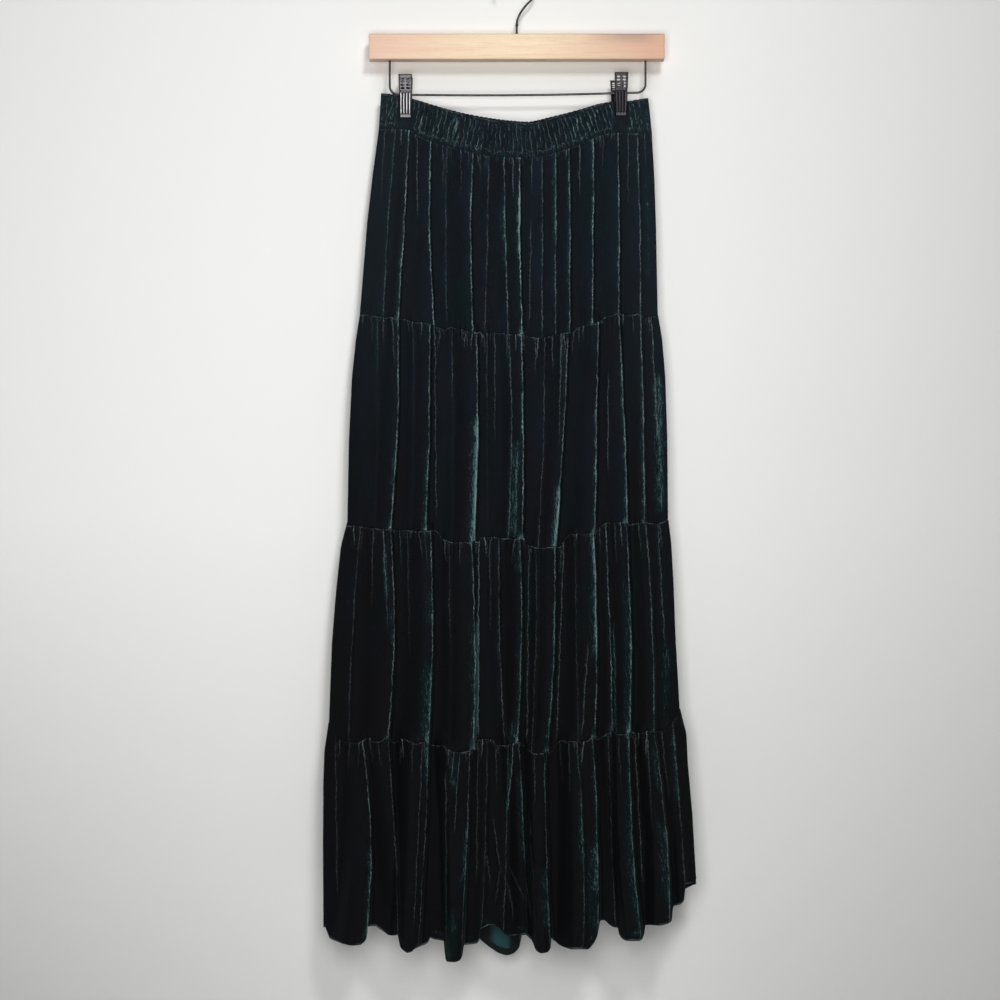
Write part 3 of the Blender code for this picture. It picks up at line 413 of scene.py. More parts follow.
HEM_FRONT = [
    (-232.2, -1144.2), (-229.8, -1151.4), (-227.4, -1157.4), (-224.5, -1164.6), (-215.4, -1169),
    (-205.8, -1172.3), (-197.4, -1173.7), (-188.5, -1173), (-183, -1169.4), (-180.2, -1164.6),
    (-178.8, -1151.4), (-174.6, -1150.2), (-169.8, -1150.2), (-166.2, -1152.6), (-159, -1157.4),
    (-153.8, -1161), (-148.2, -1161.7), (-143.2, -1160.5), (-141.5, -1167), (-139.8, -1175),
    (-135.1, -1180.2), (-131.4, -1182.4), (-126.6, -1181.4), (-123, -1178.3), (-116.5, -1175),
    (-108.6, -1171.7), (-105.4, -1168.2), (-103.6, -1164.6), (-97.8, -1166.3), (-87.5, -1168.2),
    (-85.8, -1189.2), (-83.2, -1193), (-75, -1193.6), (-69, -1191.7), (-65.2, -1185.7), (-63.2, -1173),
    (-56.5, -1172.3), (-48, -1171), (-45.1, -1167), (-43.2, -1155), (-39, -1152.6), (-33, -1149.7),
    (-27, -1150.2), (-20.5, -1152.6), (-16.4, -1157.6), (-12.6, -1161), (-6.6, -1162.2), (2.2, -1161.7),
    (10.8, -1161), (15.5, -1163.6), (19.6, -1171), (23.4, -1179.7), (30, -1183), (36.8, -1181.6),
    (40.7, -1176.4), (42.1, -1164), (46.2, -1168.2), (51.5, -1173), (59.4, -1176.4), (67.8, -1178.3),
    (84.6, -1178.3), (91.6, -1172.3), (96.8, -1161.7), (99.4, -1149), (100.6, -1143.5), (104.2, -1143),
    (111, -1148.3), (116.2, -1151.6), (121.1, -1152.4), (123, -1160.3), (126.8, -1165.7),
    (133.8, -1168.2), (147, -1168.2), (150.8, -1165.7), (153.2, -1159), (154.4, -1149.4), (160.2, -1149),
    (169.8, -1149.7), (177.5, -1148.6), (183.6, -1146.4), (186.4, -1143), (187.8, -1126.7),
    (191.4, -1125.5), (197.4, -1123.7), (201, -1119), (202.7, -1100.3), (207, -1099.7), (211.2, -1099.1),
    (214.7, -1096.2), (216.6, -1085.4),
]
# As it is seen from behind.
HEM_BACK = [
    (-216, -1100), (-196, -1112), (-160, -1132), (-120, -1148), (-60, -1154), (-12, -1158), (-6, -1170),
    (-2.5, -1182), (3, -1189), (12, -1191.5), (21, -1189), (32, -1182), (42, -1174), (56, -1158),
    (100, -1150), (160, -1156), (232, -1152),
]


# ---------------------------------------------------------------- numbers
def smooth(s):
    """0 up to s = 0, 1 from s = 1, and a smooth rise between."""
    s = np.clip(s, 0.0, 1.0)
    return s * s * (3.0 - 2.0 * s)


def bell(t, width):
    """1 at t = 0 and falling away on both sides as a bell of that width."""
    return np.exp(-(t / width) ** 2)


def through(top, mid, foot, v):
    """The parabola through three values at the top, middle and foot."""
    return top * (1 - v) * (1 - 2 * v) + mid * 4 * v * (1 - v) + foot * v * (2 * v - 1)


def eased(x, points):
    """Through a table of points, smooth, and level at its highs and lows."""
    at, value = np.array(points, dtype=float).T
    run = np.diff(at)
    rise = np.diff(value) / run
    slope = np.concatenate([rise[:1], np.zeros(len(run) - 1), rise[-1:]])
    keeps_on = rise[1:] * rise[:-1] > 0
    both = np.where(keeps_on, rise[1:] + rise[:-1], 1.0)
    slope[1:-1] = np.where(keeps_on, 2 * rise[1:] * rise[:-1] / both, 0.0)
    k = np.clip(np.searchsorted(at, x) - 1, 0, len(run) - 1)
    t = np.clip((x - at[k]) / run[k], 0, 1)
    bend = t * (1 - t) ** 2 * slope[k] - t**2 * (1 - t) * slope[k + 1]
    return value[k] + run[k] * bend + smooth(t) * (value[k + 1] - value[k])


def uneven(t, seed, length):
    """Smooth unevenness from -1 to 1 along t: three waves whose lengths don't
    divide one another, each shifted by the seed."""
    turn = 2 * math.pi * t / length
    return (0.5 * np.sin(turn + 12.9 * seed) + 0.3 * np.sin(2.33 * turn + 7.7 * seed + 1.0)
            + 0.2 * np.sin(5.21 * turn + 3.1 * seed + 2.0))


def blotchy(t, seed, length, middle, swing, low=0.0):
    """Uneven along t about a middle value, cut off at a low one and at 1."""
    return np.clip(middle + swing * uneven(t, seed, length), low, 1)


def within(v, start, stop, ease):
    """1 for v between start and stop, easing to 0 beyond both."""
    return smooth((v - start + ease) / ease) * smooth((stop + ease - v) / ease)


def seam_height(key, xi, x=None):
    """Height of a seam at a share xi of the way from the middle to a side: a
    straight tilt, less a sag that is a bell or a flat-bottomed power.  Where x
    is given, a front's seam follows its own table."""
    if x is not None and key in SEAM_FRONT:
        return eased(x, SEAM_FRONT[key])
    s = SEAMS[key]
    shape = 0.5 + 0.5 * np.cos(math.pi * xi) if s.power == 0 else 1 - np.abs(xi) ** s.power
    return s.side + s.tilt * xi - s.sag * shape


def slack_share(x):
    """0 at the clips and beyond them, rising to 1 half way between."""
    left, right = CLIPS["left"].middle, CLIPS["right"].middle
    return np.sin(math.pi * np.clip((x - left) / (right - left), 0.0, 1.0)) ** 2


def outline(tier, side, v):
    """The left and the right edge of a panel, and half its depth."""
    share, *columns = np.array(OUTLINE[tier], dtype=float).T
    left, right, half = [np.interp(v, share, column) for column in columns]
    return (left, right, half) if side == "front" else (-right, -left, half)


def drop_width(tier, v):
    """How wide the drop behind a fold's edge is."""
    top, foot = DROP_WIDTH[tier]
    return top * (1 - v) + foot * v


def waist_half(x, xi, reach):
    """Half the way from front to back at the waist: pinched at the clips, open
    between them, with a small round loop at each side."""
    level = PINCHED + SLACK * slack_share(x)
    inset = (1 - np.abs(xi)) * reach
    loop = LOOP * np.sqrt(1 - (1 - np.clip(inset / LOOP, 0.0, 1.0)) ** 2)
    levelling = 14.0
    return loop + (level - LOOP) * smooth((inset - LOOP) / levelling)


def clear_of_clips(x, width):
    """0 under a clip's jaws, rising to 1 over a width beside them."""
    half_jaw = 8.0
    near = np.minimum(np.abs(x - CLIPS["left"].middle), np.abs(x - CLIPS["right"].middle))
    return smooth((near - half_jaw) / width)


def fold_shape(t, wide, soft, drop):
    """A fold's profile from 0 to 1, at a distance t to the right of its edge."""
    share = (t + wide) / wide
    swell = smooth(share / soft)
    rolled = np.clip((share - ROLL_FROM) / (1 - ROLL_FROM), 0.0, 1.0)
    return swell * (1 - ROLL * rolled ** 2) * (1 - smooth(t / drop))


def placed(x, y, z, side):
    """The places of a front were read off in perspective: what stands nearer
    is drawn in a little towards the middle of the view.  A back is turned."""
    if side == "back":
        return np.stack([x, y, z], axis=-1) * TO_BACK
    near = 1 + y / VIEW
    return np.stack([VIEW_X + (x - VIEW_X) * near, y, VIEW_Z + (z - VIEW_Z) * near], axis=-1)


# ---------------------------------------------------------------- meshes
def grid_quads(rows, cols):
    """Quads of a grid whose outside is towards -Y when its rows run down and
    its columns run to the right."""
    a = (np.arange(rows - 1)[:, None] * cols + np.arange(cols - 1)[None, :]).ravel()
    return np.stack([a, a + cols, a + cols + 1, a + 1], axis=1)


def make_piece(name, verts, faces, materials, uv=None, attributes=None):
    """A mesh object from vertices in millimetres, with smooth faces."""
    mesh = bpy.data.meshes.new(name)
    faces = faces.tolist() if isinstance(faces, np.ndarray) else faces
    mesh.from_pydata((np.asarray(verts) * MM).tolist(), [], faces)
    mesh.polygons.foreach_set("use_smooth", np.ones(len(mesh.polygons), dtype=bool))
    for mat in materials:
        mesh.materials.append(mat)
    if uv is not None:
        corner = np.zeros(len(mesh.loops), dtype=np.int32)
        mesh.loops.foreach_get("vertex_index", corner)
        layer = mesh.uv_layers.new(name="cloth")
        layer.data.foreach_set("uv", uv[corner].astype(np.float32).ravel())
    for key, values in (attributes or {}).items():
        layer = mesh.attributes.new(key, "FLOAT", "POINT")
        layer.data.foreach_set("value", np.asarray(values, dtype=np.float32).ravel())
    mesh.update()
    ob = bpy.data.objects.new(name, mesh)
    bpy.context.scene.collection.objects.link(ob)
    return ob


def thicken(ob, thickness, inside=0):
    """Gives a surface its wall, inwards, and the number of the wall's inside
    among the piece's materials."""
    wall = ob.modifiers.new("wall", "SOLIDIFY")
    wall.thickness = thickness * MM
    wall.offset = -1.0
    wall.material_offset = inside
    wall.material_offset_rim = 0


def ring_quads(stations, sides):
    """Quads between rings of points that follow one another."""
    k = np.arange(stations - 1)[:, None] * sides
    j = np.arange(sides)[None, :]
    i = (j + 1) % sides
    a, b, c, d = (k + j).ravel(), (k + i).ravel(), (k + sides + i).ravel(), (k + sides + j).ravel()
    return np.stack([a, b, c, d], axis=1)


def tube_faces(stations, sides):
    """Faces of a tube: the quads between its rings, and a cap at both ends."""
    first = list(range(sides))
    last = [(stations - 1) * sides + j for j in first]
    return ring_quads(stations, sides).tolist() + [first[::-1], last]


def stands_for(ob, slot, *nodes):
    """The piece takes the place of its nodes and rides on the body.  The slot is not used."""
    if nodes:
        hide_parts(*nodes)
    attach(ob, "root")


def make_cloth(node, surface, wall, materials):
    """A sheet of cloth from its outer surface, in the place of a node."""
    xyz, uv, values = surface
    faces = grid_quads(*xyz.shape[:2])
    ob = make_piece(node + "_cloth", xyz.reshape(-1, 3), faces, materials, uv.reshape(-1, 2), values)
    thicken(ob, wall, inside=1)
    stands_for(ob, "velvet", node)


# ---------------------------------------------------------------- tiers
def folds_of(tier, side):
    """The folds of one panel.  A back's are taken from its long rows."""
    if side == "front":
        return [Fold(*row) for row in FRONT_FOLDS[tier]]
    out = []
    for k, row in enumerate(BACK_FOLDS):
        b = BackFold(*row)
        xs = (b.x_waist, b.x_seam1, b.x_seam2, b.x_seam3, b.x_hem)
        # Each fold is a little off its long row, unevenly from tier to tier.
        off, bowed = 2.6, 2.2
        top = xs[tier - 1] + off * math.sin(2.3 * k + 1.9 * tier)
        foot = xs[tier] + off * math.sin(1.7 * k + 2.9 * tier + 1.0)
        bow = bowed * math.sin(3.1 * k + 1.3 * tier)
        wide_top, wide_foot = 22, 34             # for the first, which follows none
        if k > 0:
            before = BACK_FOLDS[k - 1]
            wide_top = 0.86 * (top - before[tier])
            wide_foot = 0.80 * (foot - before[tier + 1])
        if b.key == "u" and tier == 4:
            wide_foot = 26                       # it begins beyond the hem's lobe
        deep_top, deep_foot = BACK_DEEP[tier - 1] * b.full, BACK_DEEP[tier] * b.full
        soft = 0.6 if tier == 4 else 0.9
        bright = b.bright * (0.84 + 0.26 * math.sin(2.1 * k + 2.4 * tier))
        out.append(Fold(b.key, top, (top + foot) / 2 + bow, foot, deep_top, (deep_top + deep_foot) / 2,
                        deep_foot, wide_top, wide_foot, soft, bright))
    return out


def row_shares(tier):
    """Heights of the mesh rows as shares of the drop: close together by the
    seams, where the cloth is drawn in, and even between."""
    near = np.array([0, 0.9, 1.8, 2.9, 4.3, 6.2, 8.8, 12.4, 17.0])
    even_from = 22
    middle = np.linspace(even_from, DROPS[tier] - even_from, 46)
    return np.r_[near, middle, DROPS[tier] - near[::-1]][:, None] / DROPS[tier]


def fold_edge(fold, tier, v):
    """The line where a fold drops back: the parabola through its three places,
    wandering about 1 mm to both sides between the seams."""
    down = v * DROPS[tier]
    wander = 0.7 * uneven(down, tier + 0.37 * fold.x_mid, 150.0) + 0.2 * uneven(down, fold.x_mid, 37.0)
    return through(fold.x_top, fold.x_mid, fold.x_foot, v) + wander * smooth(4 * v * (1 - v))


def fold_columns(folds, tier, v, drop, left, right, step):
    """x of each column at each row, and how far across its fold it lies.
    Every fold has its own columns, which follow its edge down, closer together
    by the edge than on the swell, and four more lie in the drop behind it."""
    parts, shares, start = [], [], left
    for fold in folds:
        edge = fold_edge(fold, tier, v)
        count = max(7, int(math.ceil(float((edge - start).max()) / step)))
        share = np.linspace(0.0, 1.0, count + 1)
        crowding = 0.35                          # of the columns by the edges
        share = share - crowding * np.sin(2 * math.pi * share) / (2 * math.pi)
        parts.append(start + (edge - start) * share[None, :])
        parts.append(edge + drop * np.array([[0.2, 0.4, 0.6, 0.8]]))
        shares += [share, np.array([0.8, 0.5, 0.2, 0.05])]
        start = edge + drop
    count = int(math.ceil(float((right - start).max()) / step))
    share = np.sin(0.5 * math.pi * np.linspace(0.0, 1.0, count + 1))
    parts.append(start + (right - start) * share[None, :])
    shares.append(share)
    return np.concatenate(parts, axis=1), np.concatenate(shares)


def plain_depth(tier, side, x, v):
    """How far the middle surface stands out at x: the flattened half ring and
    the folds on it, without creases."""
    turn = TURN[side]
    left, right, half = outline(tier, side, v)
    mid, reach = (left + right) / 2, (right - left) / 2
    xi = np.clip((x - mid) / reach, -1.0, 1.0)
    lens = half * np.sqrt(np.clip(1 - np.abs(xi) ** 2.4, 0.0, 1.0))
    taper = 1 - np.abs(xi) ** 10
    if tier == 1:
        blend = smooth((v + 0.02) / 0.62) * smooth(v / 0.05)
        lens = (1 - blend) * waist_half(turn * x, xi, reach) + blend * lens
        beside = clear_of_clips(turn * x, 16.0)
        taper = taper * (beside + (1 - beside) * smooth(v / 0.12))
    drop = drop_width(tier, v)
    stand = np.zeros_like(x)
    for k, fold in enumerate(folds_of(tier, side)):
        t = x - fold_edge(fold, tier, v)
        wide = fold.left_top * (1 - v) + fold.left_foot * v
        deep = through(fold.deep_top, fold.deep_mid, fold.deep_foot, v)
        deep = deep * (1 + 0.10 * uneven(v * DROPS[tier], tier + 0.61 * k, 95.0) * smooth(4 * v * (1 - v)))
        stand += deep * fold_shape(t, wide, fold.soft, drop)
    return lens + stand * taper, taper, xi


def puckers(x, seed):
    """Small gathers about 6 mm apart, from -1 to 1, unevenly spaced."""
    drift = 1.9 * np.sin(x / 9.1 + seed) + 3.2 * np.sin(x / 31.0 + 2 * seed)
    return np.sin(2 * math.pi * (x + drift) / 6.3)


class Lines:
    """The pale lines painted on a piece as highlights: at each point the distance
    across to the line that shows most there, mm, below 0 to its left, and how pale
    that line is."""

    def __init__(self, shape):
        self.across = np.full(shape, 4.0)
        self.pale = np.zeros(shape)

    def add(self, distance, pale):
        shown = pale * (1 - smooth((np.abs(distance) - 1.2) / 1.8))
        self.across = np.where(shown > self.pale, distance, self.across)
        self.pale = np.maximum(self.pale, shown)


def add_tassels(lines, x, away, seed, places, longest):
    """Short pale lines, painted highlights, that run out from a seam where the cloth
    is drawn in, most of them beside the folds' ends at the given places.  Returns
    their relief."""
    rng = np.random.default_rng(seed)
    relief = np.zeros_like(x)
    low, high = float(x.min()), float(x.max())
    tassels, shortest = 54, 4.0
    for k in range(tassels):
        at = rng.uniform(low, high)
        if k % 2:
            at = places[k // 2 % len(places)] + rng.normal(0.0, 8.0)
        size = rng.uniform(0.0, 1.0)
        length = shortest + (longest - shortest) * size**2.2
        slant = rng.uniform(-0.12, 0.12)
        pale = (0.06 + 0.50 * rng.uniform(0, 1) ** 2.5) * (0.6 + 0.4 * size)
        start = rng.uniform(0.0, 2.0)
        t = x - at - slant * away - 0.5 * uneven(away, k * 0.7, 21.0)
        shown = np.clip(1 - (away - start) / length, 0, 1) ** 0.8 * (away > start - 1)
        lines.add(t, pale * shown)
        relief += 0.5 * (0.4 + pale) * shown * bell(t + 0.6, 1.3)
    return relief


def lay_folds(tier, folds, x, v, lines, painted_sheen):
    """Adds the painted highlight, a pale line, and the painted sheen along the edge
    of each fold.  Returns how strongly an edge draws the cloth in, from 0 to 1,
    were it at a seam."""
    down = v * DROPS[tier]
    drawn_in = np.zeros_like(x)
    for k, fold in enumerate(folds):
        t = x - fold_edge(fold, tier, v)
        streak = 0.60 + 0.50 * uneven(down, 3.1 * k + tier, 83.0) + 0.30 * uneven(down, k + 0.5, 19.0)
        if (tier, fold.key) in FADES:
            streak = streak * smooth((FADES[tier, fold.key] - v) / 0.25)
        pale = LINE_LIGHT[tier] * fold.bright**1.6 * np.clip(streak, 0.06, 1.15)
        lines.add(t + LINE_SHIFT, pale)
        painted_sheen += 0.42 * pale * np.where(t < 0, np.exp(-np.abs(t) / 2.2), bell(t, 0.9))
        drawn_in += fold.bright**3.4 * np.where(t < 0.8, bell(t + 1.5, 4.2), bell(t - 0.8, 1.5))
    return np.clip(drawn_in, 0, 1)


def lay_creases(tier, creases, x, v, taper, depth, lines, painted_sheen):
    """Adds the fine creases: small folds, each with a start and a stop, with a painted highlight line and
    painted sheen along each.
    """
    down = v * DROPS[tier]
    ease = 0.08
    for k, row in enumerate(creases):
        c = Crease(*row)
        share = (v - c.start) / (c.stop - c.start)
        at = c.x_top + (c.x_foot - c.x_top) * share + 0.7 * uneven(down, 5.3 * k + tier, 60.0)
        shown = within(v, c.start, c.stop - ease, ease)
        if c.start == 0 and c.stop < 0.7:                # a short one from a seam dies away
            shown = shown * (1 - 0.75 * smooth(share))
        depth += c.tall * shown * taper * fold_shape(x - at, c.wide, soft=1.0, drop=1.8)
        streak = 0.7 + 0.3 * uneven(down, 1.7 * k + 0.3, 23.0)
        lines.add(x - at + LINE_SHIFT, 1.2 * LINE_LIGHT[tier] * c.bright**1.3 * shown * streak)
        painted_sheen += 0.45 * c.bright * shown * np.where(x < at, bell(x - at, 2.4), bell(x - at, 0.9))


def lay_glows(tier, folds, glows, x, v, painted_sheen):
    """Adds the painted sheen beside the folds: it falls off softly to the left of
    its brightest line and soon to the right."""
    keys = {fold.key: fold for fold in folds}
    for row in glows:
        g = Glow(*row)
        t = x - fold_edge(keys[g.fold], tier, v) - g.shift
        shown = within(v, g.start + 0.05, g.stop - 0.05, 0.09)
        soft_side = np.exp(-np.abs(t / (0.62 * g.wide)) ** 1.2)
        painted_sheen += g.strong * shown * np.where(t < 0, soft_side, bell(t, 1.2 + 0.25 * abs(g.shift)))


def panel_heights(tier, side, x, xi, v):
    """Heights between a panel's upper seam and its lower one, or its hem."""
    front = side == "front"
    xi, steps_x = TURN[side] * xi, x if front else None
    z_top = seam_height("waist" if tier == 1 else tier - 1, xi, steps_x) - SEAM_GAP / 2
    if tier < 4:
        z_foot = seam_height(tier, xi, steps_x) + SEAM_GAP / 2
    else:
        z_foot = eased(x, HEM_FRONT if front else HEM_BACK)
    return z_top + (z_foot - z_top) * v


def tier_surface(tier, side):
    """The outer surface of a tier's front or back.

    Depth = the plain folds + the fine creases, each a small fold with a start
    and a stop + short gathers and puckers that fade away from the seams + a
    soft puff under each seam.  Five more values steer the materials: "across"
    and "edge" are the distance to the nearest painted highlight line and how pale
    it is, the painted sheen is a soft glow, "swell" rises across each fold up to
    its edge, where the pile is painted lighter, and "hem" is the height above the
    skirt's lower edge.
    """
    folds = folds_of(tier, side)
    front = side == "front"
    creases = (FRONT_CREASES if front else BACK_CREASES)[tier]
    glows = (FRONT_GLOWS if front else BACK_GLOWS)[tier]
    v = row_shares(tier)
    left, right, _ = outline(tier, side, v)
    step = COLUMN_STEP if front else BACK_STEP
    x, across = fold_columns(folds, tier, v, drop_width(tier, v), left, right, step)
    v = np.broadcast_to(v, x.shape)
    down = v * DROPS[tier]                       # below the upper seam
    up = (1 - v) * DROPS[tier]                   # above the lower one
    depth, taper, xi = plain_depth(tier, side, x, v)

    # Near its lower seam a tier takes the shape of the one below.
    if tier < 4:
        below, _, _ = plain_depth(tier + 1, side, x, np.zeros_like(x))
        meet_over = 16.0
        meet = smooth(1 - up / meet_over)
        depth = depth * (1 - meet) + below * meet

    lines = Lines(x.shape)
    painted_sheen = np.zeros_like(x)
    drawn_in = lay_folds(tier, folds, x, v, lines, painted_sheen)
    lay_creases(tier, creases, x, v, taper, depth, lines, painted_sheen)
    # Painted sheen towards the sides, where the cloth turns away, less on lower tiers.
    painted_sheen += 0.07 * smooth((np.abs(xi) - 0.70) / 0.30) * (1.25 - 0.25 * tier)
    lay_glows(tier, folds, glows, x, v, painted_sheen)

    # Gathers beside the seams, the cloth's puff under them, and the seam itself, drawn as a painted highlight
    # line.
    puff, fine, longest = (1.0, 0.40, 24.0) if tier == 1 else (2.0, 0.80, 34.0)
    seed = tier + (0.0 if front else 0.5)
    depth += taper * fine * puckers(x, seed) * np.exp(-down / 13.0)
    depth += taper * puff * (1 - np.exp(-down / 5.0)) * np.exp(-down / 32.0)
    ends = [fold.x_top for fold in folds]
    depth += taper * add_tassels(lines, x, down, round(10 * seed), ends, longest)
    wobble = 0.55 * uneven(x, seed + 0.7, 9.0)
    patchy = blotchy(x, seed + 0.2, 37.0, 0.50, 0.60, 0.12)
    dotted = blotchy(x, seed + 0.9, 17.0, 0.45, 0.80, 0.05)
    # The seam's pale line is a painted highlight, paler where the folds draw the cloth in.
    painted_highlight = (0.04 + 0.34 * patchy * dotted + 0.5 * drawn_in) * (0.5 if tier == 1 else 1.0)
    if tier == 4:
        painted_highlight = painted_highlight * (1 - 0.85 * smooth((np.abs(xi) - 0.78) / 0.10))
    lines.add(down - 0.9 - wobble, painted_highlight * (down < 3.5))
    # Painted sheen where the folds draw the cloth in, under the upper seam and over the lower one.
    painted_sheen += 0.6 * drawn_in * bell(down, 4.0)
    if tier < 4:
        depth += taper * 0.45 * puckers(x, seed + 1.0) * np.exp(-up / 8.0)
        painted_sheen += (0.8 if tier == 1 else 1.4) * drawn_in * np.exp(-up / 7.0)
    else:
        hem_tall, hem_proud = 11.0, 0.5
        depth += hem_proud * smooth((hem_tall - up) / 2.0)
        depth += taper * 0.5 * uneven(x, seed, 23.0) * np.exp(-up / 20.0)
        # Painted sheen along the turned hem, and a painted highlight line along its lower edge.
        painted_sheen += 0.35 * np.clip(0.5 + uneven(x, seed, 47.0), 0, 1) * bell(up - 8.0, 3.0)
        rim = blotchy(x, seed + 0.4, 61.0, 0.35, 0.9, 0.05)
        lines.add(up - 1.3, 0.42 * rim * (up < 3.0))
        painted_sheen += 0.42 * rim * bell(up - 1.5, 1.6)

    y = -np.maximum(depth, 0.0)
    y[:, 0] = y[:, -1] = -SIDE_GAP / 2
    z = panel_heights(tier, side, x, xi, v)
    along = np.hypot(np.diff(x, axis=1), np.diff(y, axis=1))
    width = np.concatenate([np.zeros((len(x), 1)), np.cumsum(along, axis=1)], axis=1)
    width = width * (width[len(width) // 2, -1] / width[:, -1:])
    uv = np.stack([width, down], axis=-1) * MM
    far_from_hem = 100.0
    values = {
        "across": lines.across,
        "edge": np.clip(lines.pale, 0, 1.1),
        "painted_sheen": np.clip(painted_sheen * GLOW_LIGHT[tier], 0, 1.1),
        "swell": across[None, :] + 0 * x,
        "hem": up if tier == 4 else up + far_from_hem,
    }
    return placed(x, y - CLOTH / 2, z, side), uv, values


def make_tier(tier, side, materials):
    surface = tier_surface(tier, side)
    make_cloth("tier_%d_%s" % (tier, side), surface, CLOTH, materials)


# ---------------------------------------------------------------- waistband
def band_surface(side):
    """Shirred elastic.  Depth = half the waist + the band's half wall + a ridge
    for each gather, rounder than its valleys, full across the middle and held
    flat by the stitching near both edges and under the clips."""
    half_band, per_gather, plain_end = 161.0, 10, 6.0
    even = np.linspace(-1, 1, GATHERS * per_gather) * (1 - plain_end / half_band)
    ends = np.linspace(0, 1, 12) ** 1.5 * plain_end / half_band
    xi0 = np.r_[-1 + ends[:-1], even, (1 - ends[:-1])[::-1]][None, :]
    spread = xi0 + 0.008 * np.sin(9 * xi0 + 0.7) + 0.003 * np.sin(31 * xi0)
    place = xi0 * half_band
    v = np.linspace(0.0, 1.0, 25)[:, None]
    down = BAND_HEIGHT * v
    left, right = -162.7 - 2.6 * v, 158.0 + 4.2 * v          # widening to tier 1
    if side == "back":
        left, right = -right, -left
    mid, reach = (left + right) / 2, (right - left) / 2
    slope = SEAMS["waist"].sag * 0.5 * math.pi * np.sin(math.pi * xi0) / reach
    lean = 0.85 * BAND_HEIGHT * slope * (1 - xi0 ** 8)
    bend = 1.2 * uneven(place, 1.3, 21.0) * np.sin(2.2 * math.pi * v)
    x = mid + reach * xi0 + lean * (v - 0.5) + bend * (1 - xi0 ** 8)
    front_x = TURN[side] * x                     # as the front is looked at
    xi = np.clip((x - mid) / reach, -1.0, 1.0)
    clear = clear_of_clips(front_x, 9.0)
    # Phase of the gathers; the ridges are broad and the valleys between sharp.
    inner = np.clip(spread / (1 - plain_end / half_band), -1, 1)
    phase = math.pi * (inner + 1) * GATHERS
    ridge = 2 * np.abs(np.sin(phase / 2)) ** 0.75 - 1
    tall = 0.8 + 0.35 * uneven(place, 0.4, 19.0)
    held = 0.30 + 0.70 * smooth((v - 0.12) / 0.16) * smooth((0.97 - v) / 0.12)
    crumple = 0.5 * uneven(x, 2.0, 13.0) * bell(v - 0.86, 0.12)
    ends_in = smooth((1 - np.abs(xi0)) * half_band / (2 * plain_end) - 0.3)
    ripple = (1.15 * ridge * tall * held + crumple) * clear * ends_in
    stitches = -0.55 * bell(v - 0.17, 0.035) - 0.45 * bell(v - 0.93, 0.03)
    rounded = 1.2 * (np.clip(1 - np.clip(1 - 2 * v, 0, 1) ** 6, 0, 1) ** 0.5 - 1)
    y = -waist_half(front_x, xi, reach) - (BAND / 2 + ripple + stitches * ends_in + rounded)
    y[:, 0] = y[:, -1] = -SIDE_GAP / 2
    lift = -TOP_FRONT_LOWER if side == "front" else TOP_BACK_HIGHER
    top = eased(front_x, TOP_EDGE) + lift * slack_share(front_x)
    top = top + 0.45 * ridge * clear * ends_in
    foot = seam_height("waist", TURN[side] * xi, x if side == "front" else None) + SEAM_GAP / 2
    z = top + (foot - top) * v
    # Pale lines, painted highlights: along the ribs, in dots by the upper stitching,
    # fine ones in the valleys, loops at the foot, and both stitched rows.
    lines = Lines(y.shape)
    shown = clear_of_clips(front_x, 3.0)
    pitch = 2 * half_band / GATHERS
    rib = (np.mod(phase / (2 * math.pi) + 0.5, 1.0) - 0.5) * pitch - 0.9
    middle = within(v, 0.26 + 0.08 * uneven(x, 0.2, 15.0), 0.80 + 0.08 * uneven(x, 0.5, 17.0), 0.12)
    patch = np.clip(0.46 + 0.60 * uneven(x, 3.3, 160.0) + 0.55 * uneven(x, 1.1, 23.0), 0.05, 1)
    dashes = blotchy(down + 1.7 * x, 0.9, 31.0, 0.45, 0.75)
    lines.add(rib - 0.6 * uneven(down, 0.3, 15.0), 0.74 * shown * middle * patch * dashes)
    dots = within(v, 0.10 + 0.05 * uneven(x, 2.7, 11.0), 0.19, 0.05)
    lines.add(rib + 0.4, 0.34 * shown * dots * blotchy(x, 1.6, 29.0, 0.4, 0.8))
    between = np.mod(rib + 0.5 * pitch, pitch) - 0.5 * pitch
    fine = blotchy(down - 1.3 * x, 2.1, 17.0, 0.25, 0.75)
    lines.add(between + 0.4 * uneven(down, 1.9, 11.0), 0.30 * shown * held * fine)
    loop_low, loop_tall = 3.4, 2.6               # the painted pale loops, up from the seam
    arches = np.abs(np.sin(0.5 * phase + 1.6 * uneven(x, 0.6, 19.0)))
    loops = BAND_HEIGHT * (1 - v) - loop_low - loop_tall * arches
    beads = blotchy(x, 2.4, 13.0, 0.35, 0.75)
    lines.add(loops, 0.34 * beads * shown * (v > 0.74))
    lines.add(down - 1.0, 0.34 * blotchy(x, 1.5, 43.0, 0.5, 0.6) * shown)
    lines.add(BAND_HEIGHT * (v - 0.155) + 0.5 * uneven(x, 1.8, 19.0), 0.10 * beads * shown)
    # Painted sheen: a little over the whole band, more on the ridges, most beside the clips and in two places
    # between them, and some along the foot.
    sheen_spots = bell(front_x + 152.0, 7.0) + 0.8 * bell(front_x - 146.0, 9.0)
    sheen_spots += 1.1 * bell(front_x + 73.0, 5.0) + 0.7 * bell(front_x - 112.0, 4.5)
    painted_sheen = 0.17 + 0.26 * shown * held * np.clip(0.2 + ridge, 0, 1) * patch * dashes
    painted_sheen += 0.42 * sheen_spots * held * blotchy(down + 2.3 * x, 0.4, 13.0, 0.3, 0.8)
    painted_sheen += 0.16 * np.clip(uneven(x, 0.4, 31.0) + uneven(x, 0.9, 7.0), 0, 1) * bell(v - 0.90, 0.08)
    fullness = 1.35                              # cloth to each length of the band
    width = (xi0 + 1) * half_band * fullness + 0 * v
    uv = np.stack([width, down + 0 * x], axis=-1) * MM
